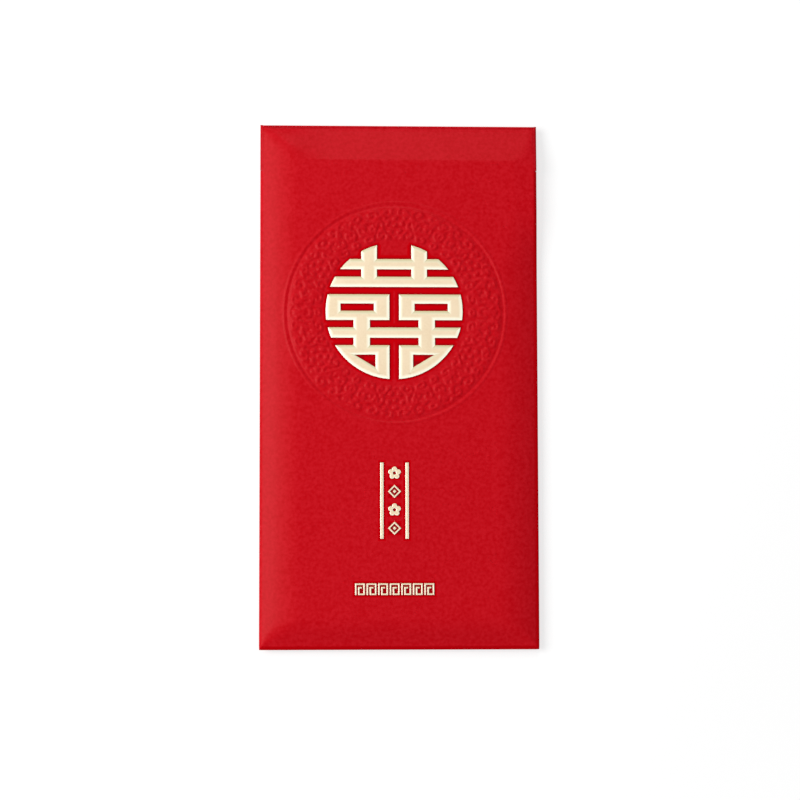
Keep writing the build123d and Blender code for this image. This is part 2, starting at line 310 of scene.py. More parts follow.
class Recipe(NodeBoard):
    """A Geometry Nodes tree with named inputs."""

    # Kind of socket for each kind of value
    KINDS = {
        "float": "NodeSocketFloat",
        "int": "NodeSocketInt",
        "tuple": "NodeSocketVector",
        "Object": "NodeSocketObject",
        "Material": "NodeSocketMaterial",
    }

    def __init__(self, name: str, values: dict[str, object]) -> None:
        """Make the tree, its inputs and its one output.

        Args:
            name: the tree's name.
            values: a value for each named input, which gives its kind.
        """
        super().__init__(bpy.data.node_groups.new(name, "GeometryNodeTree"))
        sockets = self.tree.interface
        sockets.new_socket("Geometry", in_out="INPUT", socket_type="NodeSocketGeometry")
        for title, value in values.items():
            sockets.new_socket(title, in_out="INPUT", socket_type=self.KINDS[type(value).__name__])
        sockets.new_socket("Geometry", in_out="OUTPUT", socket_type="NodeSocketGeometry")
        self.inlet = self.add("NodeGroupInput")

    def input(self, name: str) -> Signal:
        """One named input of the tree."""
        return Signal(self, self.inlet.outputs[name])

    def vector(self, x: object, y: object, z: object = 0.0) -> Signal:
        """Vector from three values."""
        return self.value("ShaderNodeCombineXYZ", None, {"X": x, "Y": y, "Z": z})

    def end(self, geometry: Signal) -> None:
        """Realize the instances, set the material and close the tree.

        Args:
            geometry: what the tree has made.
        """
        plain = self.value("GeometryNodeRealizeInstances", None, {"Geometry": geometry})
        sockets = {"Geometry": plain, "Material": self.input("Material")}
        self.add("NodeGroupOutput", None, {"Geometry": self.value("GeometryNodeSetMaterial", None, sockets)})

    def apply(self, piece: bpy.types.Object, values: dict[str, object]) -> None:
        """Run the tree on a piece and keep the result as its plain mesh.

        Args:
            piece: the object whose mesh is replaced.
            values: the tree's inputs by name.
        """
        modifier = piece.modifiers.new("recipe", "NODES")
        modifier.node_group = self.tree
        for item in self.tree.interface.items_tree:
            if item.in_out == "INPUT" and item.name in values:
                modifier[item.identifier] = values[item.name]
        keep_result(piece)


def keep_result(piece: bpy.types.Object) -> None:
    """Replace a piece's mesh by what its modifiers make of it, and drop the modifiers.

    Args:
        piece: the object.
    """
    bpy.context.view_layer.update()
    evaluated = piece.evaluated_get(bpy.context.evaluated_depsgraph_get())
    mesh = bpy.data.meshes.new_from_object(evaluated)
    piece.modifiers.clear()
    piece.data = mesh


def thicken(piece: bpy.types.Object, thickness: float) -> None:
    """Give a leaf its card thickness, behind its outer face.

    Args:
        piece: the leaf.
        thickness: the card's thickness.
    """
    solidify = piece.modifiers.new("card", "SOLIDIFY")
    solidify.thickness = thickness
    solidify.offset = -1
    keep_result(piece)


def settle(piece: bpy.types.Object, body: Body, nodes: Sequence[str]) -> None:
    """Seat a finished piece on its body in place of its solids.

    Args:
        piece: the finished object.
        body: the body that it rides on.
        nodes: the solids that it stands for.
    """
    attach(piece, body.value)
    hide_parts(*nodes)
    faces = len(piece.data.polygons)
    LOG.info("%s rides on %s for %s: %d faces", piece.name, body.value, ", ".join(nodes), faces)


@dataclass(frozen=True)
class PressedGround:
    """Where foil stands on the card, round which the card is painted darker as shade: boxes mirrored about
    the middle line.
    """

    middle_x: float
    roundel_y: float
    roundel_radius: float
    roundel_boxes: tuple[Box, ...]
    roundel_holes: tuple[Box, ...]
    other_boxes: tuple[Box, ...]
    # Beside open card the painted shade fades sooner than between strokes
    open_rate: float = 1.7
    open_reach: float = 0.5 * MM

    def distance(self, board: NodeBoard, place: Signal) -> Signal:
        """Distance out from the nearest foil, below zero inside it and lengthened beside open card.

        Args:
            board: the material's tree.
            place: the place on the card.

        Returns:
            The distance.
        """
        parts = board.value("ShaderNodeSeparateXYZ", None, {"Vector": place})
        across = (parts - self.middle_x).size()
        along = parts.sibling("Y")
        up = along - self.roundel_y
        beyond = across.length_with(up) - self.roundel_radius
        roundel = self.nearest(across, up, self.roundel_boxes).larger(beyond)
        roundel = roundel.larger(0.0 - self.nearest(across, up, self.roundel_holes))
        rate = beyond.smooth(-self.open_reach, self.open_reach, 1.0, self.open_rate)
        return (roundel * rate).smaller(self.nearest(across, along, self.other_boxes) * self.open_rate)

    @staticmethod
    def nearest(across: Signal, up: Signal, boxes: Sequence[Box]) -> Signal:
        """Distance out from the nearest of some boxes.

        Args:
            across: places across, without their sign.
            up: places along.
            boxes: the boxes.

        Returns:
            The distance, below zero inside a box.
        """
        found = []
        for left, right, low, high in boxes:
            beside = (across - (left + right) / 2).size() - (right - left) / 2
            found.append(beside.larger((up - (low + high) / 2).size() - (high - low) / 2))
        nearest = found[0]
        for other in found[1:]:
            nearest = nearest.smaller(other)
        return nearest


@dataclass(frozen=True)
class CardFinish:
    """Dyed red card with a felt grain, a soft sheen and slightly rubbed folds, and painted shade, darker and
    without sheen, round the foil and on the right and bottom folds.
    """

    red: Colour = (0.57, 0.0068, 0.0145, 1.0)
    deep_red: Colour = (0.485, 0.0, 0.004, 1.0)
    # Painted shade round the foil and on the turned-under folds, and a darker painted shadow at the foot of
    # the foil
    pressed_red: Colour = (0.545, 0.0, 0.003, 1.0)
    edge_red: Colour = (0.32, 0.002, 0.005, 1.0)
    rubbed_red: Colour = (0.66, 0.02, 0.026, 1.0)
    grain: float = 1.1 * MM
    grain_detail: float = 1.5
    grain_depth: float = 0.02 * MM
    mottle: float = 7.0 * MM
    mottle_detail: float = 4.0
    mottle_share: float = 0.15
    tone_ends: tuple[float, float] = (0.18, 0.82)
    fibres_per_grain: float = 3.0
    fibre_detail: float = 2.0
    fibre_share: float = 0.25
    least_rub: float = 0.4
    rub_ends: tuple[float, float] = (0.25, 1.0)
    most_rubbed: float = 0.5
    roughness: float = 0.37
    roughness_swing: float = 0.08
    specular: float = 0.055
    # How far the painted shade round the foil stays full and how far it reaches, and how far its darkest
    # painted shadow reaches
    press_full: float = 0.9 * MM
    press_reach: float = 1.5 * MM
    edge_reach: float = 0.85 * MM

    def material(self, name: str, foil_shade: PressedGround | None = None) -> bpy.types.Material:
        """Make the card's material.

        Args:
            name: the material's name.
            foil_shade: the foil round which the card is painted darker and without sheen as shade, if any.

        Returns:
            The material.
        """
        made, board = new_material(name)
        place = board.place()
        grain = board.noise(place, self.grain, self.grain_detail)
        mottle = board.noise(place, self.mottle, self.mottle_detail)
        fibre = board.noise(place, self.grain / self.fibres_per_grain, self.fibre_detail)
        wear_and_shade = board.attribute("wear_and_shade")
        tone = grain * (1 - self.mottle_share) + mottle * self.mottle_share
        dyed = board.mixed(tone.smooth(*self.tone_ends), self.deep_red, self.red)
        rubbed = (wear_and_shade * (self.least_rub + grain)).smooth(*self.rub_ends, 0.0, self.most_rubbed)
        bump = board.bump(grain * (1 - self.fibre_share) + fibre * self.fibre_share, self.grain_depth)
        shader = board.value("ShaderNodeBsdfPrincipled", None, {
            "Base Color": board.mixed(rubbed, dyed, self.rubbed_red),
            "Roughness": self.roughness + self.roughness_swing * (grain - 0.5),
            "Specular IOR Level": self.specular,
            "Normal": bump,
        })
        if foil_shade:
            # Painted shade: near the foil, and where the wear value is below zero, the card turns a darker
            # red without sheen, darkest at the foil's foot
            away = foil_shade.distance(board, place)
            shaded = board.value("ShaderNodeBsdfPrincipled", None, {
                "Base Color": board.mixed(away.smooth(self.edge_reach, 0.0), self.pressed_red, self.edge_red),
                "Roughness": self.roughness,
                "Specular IOR Level": 0.0,
                "Normal": bump,
            })
            painted_shade_share = away.smooth(self.press_reach, self.press_full).larger(0.0 - wear_and_shade)
            shader = board.value("ShaderNodeMixShader", None, {0: painted_shade_share, 1: shader, 2: shaded})
        board.add("ShaderNodeOutputMaterial", None, {"Surface": shader})
        return made


@dataclass(frozen=True)
class FoilFinish:
    """Pale gold foil with a faint speckle, a painted highlight on its bevels and painted shade on those that
    face up the print.
    """

    gold: Colour = (0.85, 0.69, 0.475, 1.0)
    bevel_gold: Colour = (1.0, 0.985, 0.8, 1.0)
    dull_gold: Colour = (0.81, 0.645, 0.43, 1.0)
    shade_gold: Colour = (0.6, 0.53, 0.3, 1.0)
    speckle: float = 0.6 * MM
    speckle_detail: float = 3.0
    speckle_depth: float = 0.006 * MM
    speckles_per_cloud: float = 12.0
    cloud_detail: float = 2.0
    cloud_share: float = 0.5
    tone_ends: tuple[float, float] = (0.35, 0.6)
    metallic: float = 0.25
    roughness: float = 0.44
    roughness_swing: float = 0.16

    def material(self) -> bpy.types.Material:
        """Make the foil's material.

        Returns:
            The material.
        """
        made, board = new_material("gold_foil")
        place = board.place()
        speckle = board.noise(place, self.speckle, self.speckle_detail)
        cloud = board.noise(place, self.speckles_per_cloud * self.speckle, self.cloud_detail)
        tone = cloud * self.cloud_share + speckle * (1 - self.cloud_share)
        flat = board.mixed(tone.smooth(*self.tone_ends), self.dull_gold, self.gold)
        # Painted highlight: the bevels are painted near white by their bevel share
        highlighted = board.mixed(board.attribute("bevel"), flat, self.bevel_gold)
        # Painted shade: bevels that face up the print are painted a darker, duller gold
        shader = board.value("ShaderNodeBsdfPrincipled", None, {
            "Base Color": board.mixed(board.attribute("shade"), highlighted, self.shade_gold),
            "Metallic": self.metallic,
            "Roughness": self.roughness + self.roughness_swing * (speckle - 0.5),
            "Normal": board.bump(speckle, self.speckle_depth),
        })
        board.add("ShaderNodeOutputMaterial", None, {"Surface": shader})
        return made


@dataclass(frozen=True)
class GlueFinish:
    """Dried seam glue: a clouded, faintly yellow film."""

    pale: Colour = (0.82, 0.76, 0.64, 1.0)
    dark: Colour = (0.7, 0.62, 0.48, 1.0)
    cloud: float = 4.0 * MM
    cloud_detail: float = 3.0
    roughness: float = 0.45

    def material(self) -> bpy.types.Material:
        """Make the glue's material.

        Returns:
            The material.
        """
        made, board = new_material("seam_glue")
        cloud = board.noise(board.place(), self.cloud, self.cloud_detail)
        shader = board.value("ShaderNodeBsdfPrincipled", None, {
            "Base Color": board.mixed(cloud, self.dark, self.pale),
            "Roughness": self.roughness,
        })
        board.add("ShaderNodeOutputMaterial", None, {"Surface": shader})
        return made


@dataclass(frozen=True)
class Layout:
    """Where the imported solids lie, and the sheet that they are folded from."""

    half_width: float
    half_height: float
    rim_x: float
    rim_y: float
    mouth_y: float
    front_z: float
    front_rim_z: float
    back_z: float
    back_rim_z: float
    back_foot_z: float
    tight_z: float
    hinge_y: float
    hinge_z: float
    hinge_radius: float
    print_x: float
    roundel_y: float
    roundel_radius: float
    column_y: float
    fret_y: float
    paper: float = 0.35 * MM

    @classmethod
    def read(cls) -> "Layout":
        """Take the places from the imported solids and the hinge.

        Returns:
            The layout.
        """
        left_low, left_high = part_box("left_fold")
        foot_low, foot_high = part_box("bottom_fold")
        right_low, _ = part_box("right_fold")
        back_low, back_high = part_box("back_panel")
        rules_low, rules_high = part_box("column_rules_foil")
        fret_low, fret_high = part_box("fret_foil")
        base_low, base_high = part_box("roundel_base_foil")
        _, flap_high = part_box("closing_flap")
        radius = (base_high.x - base_low.x) / 2
        hinge = frame["joints"][0]["pos_m"]
        return cls(
            half_width=-left_low.x,
            half_height=-foot_low.y,
            rim_x=-left_high.x,
            rim_y=foot_high.y,
            mouth_y=left_high.y,
            front_z=base_low.z,
            front_rim_z=left_high.z,
            back_z=back_low.z,
            back_rim_z=left_low.z,
            back_foot_z=back_high.z - cls.paper,
            tight_z=right_low.z,
            hinge_y=hinge[1],
            hinge_z=hinge[2],
            hinge_radius=flap_high.z - hinge[2],
            print_x=(base_high.x + base_low.x) / 2,
            roundel_y=base_low.y + radius,
            roundel_radius=radius,
            column_y=(rules_low.y + rules_high.y) / 2,
            fret_y=(fret_low.y + fret_high.y) / 2,
        )

    @property
    def reach(self) -> float:
        """How far the folds stand out beyond the leaves."""
        return self.half_width - self.rim_x


@dataclass(frozen=True)
class Margins:
    """How far each plumped margin reaches in, and how softly it eases into the level middle."""

    left: float = 7.5 * MM
    right: float = 7.5 * MM
    bottom: float = 9.0 * MM
    front_bottom: float = 8.1 * MM
    top: float = 11.8 * MM
    left_ease: float = 6.0 * MM
    right_ease: float = 6.0 * MM
    bottom_ease: float = 2.8 * MM
    top_ease: float = 0.25 * MM
    right_lip: float = 0.2 * MM
    bottom_lip: float = 0.7 * MM
    top_lip: float = 0.9 * MM
    left_mitre: float = 1.2 * MM
    right_mitre: float = 0.4 * MM
    # Up the packet the right margin turns crisp, and beside the mouth it stands higher
    crisp_start: float = 36.0 * MM
    crisp_end: float = 60.0 * MM
    crisp_ease: float = 0.4 * MM
    right_lift: float = 2.2 * MM
    # Towards the left the top bevel gives way to a short, soft corner
    bevel_start: float = -20.0 * MM
    bevel_end: float = -40.0 * MM
    corner_run: float = 5.0 * MM
    corner_ease: float = 4.5 * MM


def eased_rise(depth: np.ndarray, run: object, rise: object, ease: object) -> np.ndarray:
    """Height of a slope that starts at depth 0 and eases into a level.

    Args:
        depth: distance in from the foot of the slope.
        run: where the slope would meet the level without easing.
        rise: the level's height.
        ease: how far the easing reaches each way.

    Returns:
        The height at each depth.
    """
    inside = np.clip(depth, 0, run + ease)
    bend = np.clip(depth - (run - ease), 0, 2 * ease)
    return rise / run * (inside - bend * bend / (4 * ease))


def soft_min(first: np.ndarray, second: np.ndarray, width: object) -> np.ndarray:
    """Lower of two heights, with the edge between them rounded over a height of width."""
    share = np.clip(0.5 + 0.5 * (second - first) / width, 0, 1)
    return second * (1 - share) + first * share - width * share * (1 - share)


def mitred(first: np.ndarray, second: np.ndarray, level: float, width: object) -> np.ndarray:
    """Lower of two slopes, with the mitre between them rounded everywhere but at its foot and its top.

    Args:
        first: heights of one slope.
        second: heights of the other.
        level: the height at which both end.
        width: how far the rounding reaches halfway up, as a height.

    Returns:
        The height at each place.
    """
    share = np.minimum(first, second) / level
    return soft_min(first, second, np.maximum(4 * width * share * (1 - share), HAIR))


def fade(values: np.ndarray, start: float, end: float) -> np.ndarray:
    """Smooth step from 0 at start to 1 at end."""
    share = np.clip((values - start) / (end - start), 0, 1)
    return share * share * (3 - 2 * share)


def spread(start: float, end: float, step: float) -> list[float]:
    """Evenly spaced values from start up to, and without, end."""
    count = max(1, round((end - start) / step))
    return list(np.linspace(start, end, count, endpoint=False))


class MeshSketch:
    """Points, faces and wear of a mesh in the making, with painted shade as wear below zero."""

    def __init__(self) -> None:
        """Start with nothing."""
        self.points: list[tuple[float, float, float]] = []
        self.wear_and_shade: list[float] = []
        self.faces: list[tuple[int, ...]] = []

    def row(self, points: Sequence[Sequence[float]], wear_and_shade: object = 0.0) -> list[int]:
        """Add points.

        Args:
            points: their places.
            wear_and_shade: how rubbed they are, or below zero how much painted shade they take, one value for
                all or one each.

        Returns:
            Their numbers.
        """
        start = len(self.points)
        self.points.extend((float(x), float(y), float(z)) for x, y, z in points)
        self.wear_and_shade.extend(float(w) for w in np.broadcast_to(wear_and_shade, len(points)))
        return list(range(start, len(self.points)))

    def strip(self, first: Sequence[int], second: Sequence[int], closed: bool = False) -> None:
        """Join two rows by quads that face up when the second lies to the left of the first.

        Args:
            first: one row of points.
            second: the other row, as long as the first.
            closed: whether the rows are loops.
        """
        count = len(first) if closed else len(first) - 1
        for at in range(count):
            after = (at + 1) % len(first)
            self.faces.append((first[at], first[after], second[after], second[at]))

    def sheet(self, rows: Sequence[tuple[Sequence[Sequence[float]], object]]) -> None:
        """Join rows one after another, facing up when each lies to the right of the row before it.

        Args:
            rows: the places of each row's points, and its wear or painted shade.
        """
        last: list[int] = []
        for points, wear_and_shade in rows:
            ids = self.row(points, wear_and_shade)
            if last:
                self.strip(ids, last)
            last = ids

    def fan(self, loop: Sequence[int], centre: int) -> None:
        """Close a loop with triangles to one point."""
        for at, point in enumerate(loop):
            self.faces.append((point, loop[(at + 1) % len(loop)], centre))

    def to_object(self, name: str, material: bpy.types.Material) -> bpy.types.Object:
        """Make the object.

        Args:
            name: the piece's name.
            material: its finish.

        Returns:
            The object, linked to the scene.
        """
        mesh = bpy.data.meshes.new(name)
        mesh.from_pydata(self.points, [], self.faces)
        attribute = mesh.attributes.new("wear_and_shade", "FLOAT", "POINT")
        attribute.data.foreach_set("value", self.wear_and_shade)
        mesh.materials.append(material)
        mesh.shade_smooth()
        return put_in_scene(name, mesh)


def rubbed_ends(count: int) -> np.ndarray:
    """Wear along a row of points that ends at two cut edges."""
    return np.where(np.isin(np.arange(count), (0, count - 1)), EDGE_WEAR, 0.0)


@dataclass
class PressedRing:
    """Blind-embossed ring of scrolls and blossoms round the roundel, inside a groove and a lip."""

    layout: Layout
    shift_x: float = 0.34 * MM
    shift_y: float = -0.52 * MM
    gap: float = 1.3 * MM
    width: float = 12.95 * MM
    field_lift: float = 0.02 * MM
    groove_width: float = 1.2 * MM
    groove_depth: float = 0.18 * MM
    lip_width: float = 1.1 * MM
    lip_height: float = 0.145 * MM
    stroke: float = 0.82 * MM
    stroke_height: float = 0.33 * MM
    curl_radius: float = 2.5 * MM
    curl_start: float = 0.35 * MM
    curl_turns: float = 1.05
    curl_count: int = 40
    curl_points: int = 20
    bead_count: int = 58
    bead_points: int = 6
    vine_points: int = 640
    repeats: int = 6
    flower_radius: float = 2.4 * MM
    petal_count: int = 5
    seed: int = 7
    # Rows of curls and of beads: place across the field, number and size as shares
    curl_row_shares: tuple[tuple[float, float, float], ...] = (
        (0.83, 1.1, 1.0), (0.5, 1.0, 1.0), (0.17, 0.9, 0.95),
    )
    bead_row_shares: tuple[tuple[float, float, float], ...] = ((0.66, 1.0, 1.0), (0.34, 0.9, 1.0))
    # Place and swing of the vine, and place of the flowers, as shares of the field
    vine_share: float = 0.5
    swing_share: float = 0.3
    flower_share: float = 0.45
    # Outer and inner ends of each slope, as shares of the stroke
    line_shares: tuple[float, float] = (1.0, 0.15)
    petal_shares: tuple[float, float] = (1.3, 0.2)
    eye_shares: tuple[float, float] = (1.2, 0.3)
    clearing_shares: tuple[float, float] = (1.8, 1.3)
    # How far the groove runs in under the lip, as a share of the stroke
    overlap_share: float = 0.2
    # Cosines round a flower between which its petals rise
    petal_ends: tuple[float, float] = (-0.6, 0.5)

    @property
    def centre(self) -> tuple[float, float]:
        """Middle of the ring, which the press sets a little off the roundel's."""
        return self.layout.print_x + self.shift_x, self.layout.roundel_y + self.shift_y

    @property
    def inner(self) -> float:
        """Inner radius of the ring."""
        return self.layout.roundel_radius + self.gap

    @property
    def outer(self) -> float:
        """Outer radius of the ring, at the foot of its lip."""
        return self.inner + self.width

    def sizes(self, material: bpy.types.Material) -> dict[str, object]:
        """Inputs of the tree that presses the ring.

        Args:
            material: the sheet's finish.

        Returns:
            The values by name.
        """
        return {
            "Centre": (*self.centre, self.layout.front_z),
            "Inner Radius": self.inner,
            "Outer Radius": self.outer,
            "Field Lift": self.field_lift,
            "Groove Width": self.groove_width,
            "Groove Depth": self.groove_depth,
            "Lip Width": self.lip_width,
            "Lip Height": self.lip_height,
            "Stroke": self.stroke,
            "Stroke Height": self.stroke_height,
            "Curl Radius": self.curl_radius,
            "Curl Start": self.curl_start,
            "Curl Turns": self.curl_turns,
            "Curl Count": self.curl_count,
            "Bead Count": self.bead_count,
            "Repeats": self.repeats,
            "Flower Radius": self.flower_radius,
            "Seed": self.seed,
            "Material": material,
        }

    def recipe(self, values: dict[str, object]) -> Recipe:
        """Build the tree that presses the ring into a sheet.

        Args:
            values: the tree's inputs by name.

        Returns:
            The tree.
        """
        made = Recipe("pressed_ring", values)
        inner, stroke = made.input("Inner Radius"), made.input("Stroke")
        half_groove, half_lip = made.input("Groove Width") * 0.5, made.input("Lip Width") * 0.5
        lip_radius = made.input("Outer Radius") - half_lip
        groove_radius = lip_radius - half_lip - half_groove + stroke * self.overlap_share
        field_outer = groove_radius - half_groove
        field = field_outer - inner

        place = made.value("GeometryNodeInputPosition")
        sockets = {0: place, 1: made.input("Centre")}
        local = made.value("ShaderNodeVectorMath", {"operation": "SUBTRACT"}, sockets)
        parts = made.value("ShaderNodeSeparateXYZ", None, {"Vector": local})
        radius = parts.length_with(parts.sibling("Y"))
        # The pattern of one narrow sector is mirrored all round
        sector = math.pi / made.input("Repeats")
        folded = parts.maths("PINGPONG", parts.maths("ARCTAN2", parts.sibling("Y"), parts), sector)
        x, y = folded.cosine() * radius, folded.sine() * radius
        sockets = {0: self.scrolls(made, inner, field), "Source Position": made.vector(x, y)}
        near = made.add("GeometryNodeProximity", {"target_element": "EDGES"}, sockets)
        line = self.slope(Signal(made, near.outputs["Distance"]), stroke, self.line_shares)

        petal_radius, flower_place = made.input("Flower Radius"), inner + field * self.flower_share
        beside, above = x - sector.cosine() * flower_place, y - sector.sine() * flower_place
        from_flower = beside.length_with(above)
        around = parts.maths("ARCTAN2", above, beside) - sector
        petals = self.slope((from_flower - petal_radius).size(), stroke, self.petal_shares)
        petals = petals * (around * self.petal_count).cosine().smooth(*self.petal_ends)
        flower = petals.larger(self.slope(from_flower, stroke, self.eye_shares))
        in_flower = self.slope(from_flower - petal_radius, stroke, self.clearing_shares)
        line = line * (1.0 - in_flower) + flower * in_flower

        inside = radius.smooth(inner, inner + stroke) * radius.smooth(field_outer, field_outer - stroke)
        groove = (radius - groove_radius).size().smooth(half_groove, 0.0)
        lip = (radius - lip_radius).size().smooth(half_lip, 0.0)
        height = inside * (made.input("Field Lift") + line * made.input("Stroke Height"))
        height = height + lip * made.input("Lip Height") - groove * made.input("Groove Depth")
        sockets = {"Geometry": made.input("Geometry"), "Offset": made.vector(0.0, 0.0, height)}
        made.end(made.value("GeometryNodeSetPosition", None, sockets))
        return made

    def scrolls(self, made: Recipe, inner: Signal, field: Signal) -> Signal:
        """Rows of curls and beads with a vine among them.

        Args:
            made: the tree.
            inner: the field's inner radius.
            field: the field's width.

        Returns:
            The lines as edges.
        """
        start = made.input("Curl Start")
        curl = made.value("GeometryNodeCurveSpiral", None, {
            "Resolution": self.curl_points, "Rotations": made.input("Curl Turns"), "Start Radius": start,
            "End Radius": made.input("Curl Radius"), "Height": 0.0,
        })
        sockets = {"Resolution": self.bead_points, "Radius": start}
        bead = made.value("GeometryNodeCurvePrimitiveCircle", None, sockets)
        curls, beads = made.input("Curl Count"), made.input("Bead Count")
        kinds = [(curl, curls, shares) for shares in self.curl_row_shares]
        kinds += [(bead, beads, shares) for shares in self.bead_row_shares]
        rows = []
        for turn, (shape, count, (place, number, size)) in enumerate(kinds):
            rows.append(self.ring_of(made, shape, inner + field * place, count * number, size, turn))
        rows.append(self.vine(made, inner + field * self.vine_share, field * self.swing_share, curls))
        joined = made.add("GeometryNodeJoinGeometry")
        for row in rows:
            made.tree.links.new(row.socket, joined.inputs[0])
        lines = Signal(made, joined.outputs[0])
        plain = made.value("GeometryNodeRealizeInstances", None, {"Geometry": lines})
        return made.value("GeometryNodeCurveToMesh", None, {"Curve": plain})

    @staticmethod
    def slope(distance: Signal, stroke: Signal, shares: tuple[float, float]) -> Signal:
        """Rise from 0 to 1 between two distances that are shares of the stroke."""
        return distance.smooth(stroke * shares[0], stroke * shares[1])

    @staticmethod
    def ring_of(
        made: Recipe, shape: Signal, radius: Signal, count: Signal, scale: float, turn: int
    ) -> Signal:
        """Copies of a shape round a circle, turning left and right by turns.

        Args:
            made: the tree.
            shape: the curve that is copied.
            radius: the circle's radius.
            count: how many copies there are.
            scale: how large the copies are.
            turn: which random draw gives their turn.

        Returns:
            The copies.
        """
        circle = made.value("GeometryNodeCurvePrimitiveCircle", None, {"Resolution": count, "Radius": radius})
        index = made.value("GeometryNodeInputIndex")
        side = index % 2.0 * 2.0 - 1.0
        angle = made.value("FunctionNodeRandomValue", {"data_type": "FLOAT"}, {
            "Max": math.tau, "ID": index, "Seed": made.input("Seed") + float(turn),
        })
        return made.value("GeometryNodeInstanceOnPoints", None, {
            "Points": circle, "Instance": shape,
            "Rotation": made.value("FunctionNodeEulerToRotation", None, {0: made.vector(0.0, 0.0, angle)}),
            "Scale": made.vector(side * scale, scale, scale),
        })

    def vine(self, made: Recipe, radius: Signal, swing: Signal, waves: Signal) -> Signal:
        """One closed wavy line round the ring.

        Args:
            made: the tree.
            radius: its middle radius.
            swing: how far it swings in and out.
            waves: how many half waves it has.

        Returns:
            The line.
        """
        sockets = {"Resolution": self.vine_points, "Radius": 1.0}
        circle = made.value("GeometryNodeCurvePrimitiveCircle", None, sockets)
        angle = made.value("GeometryNodeInputIndex") * (math.tau / self.vine_points)
        reach = radius + swing * (angle * waves * 0.5).sine()
        place = made.vector(angle.cosine() * reach, angle.sine() * reach)
        return made.value("GeometryNodeSetPosition", None, {"Geometry": circle, "Position": place})

    def press(self, sheet: bpy.types.Object, material: bpy.types.Material) -> None:
        """Press the ring into a sheet."""
        values = self.sizes(material)
        self.recipe(values).apply(sheet, values)


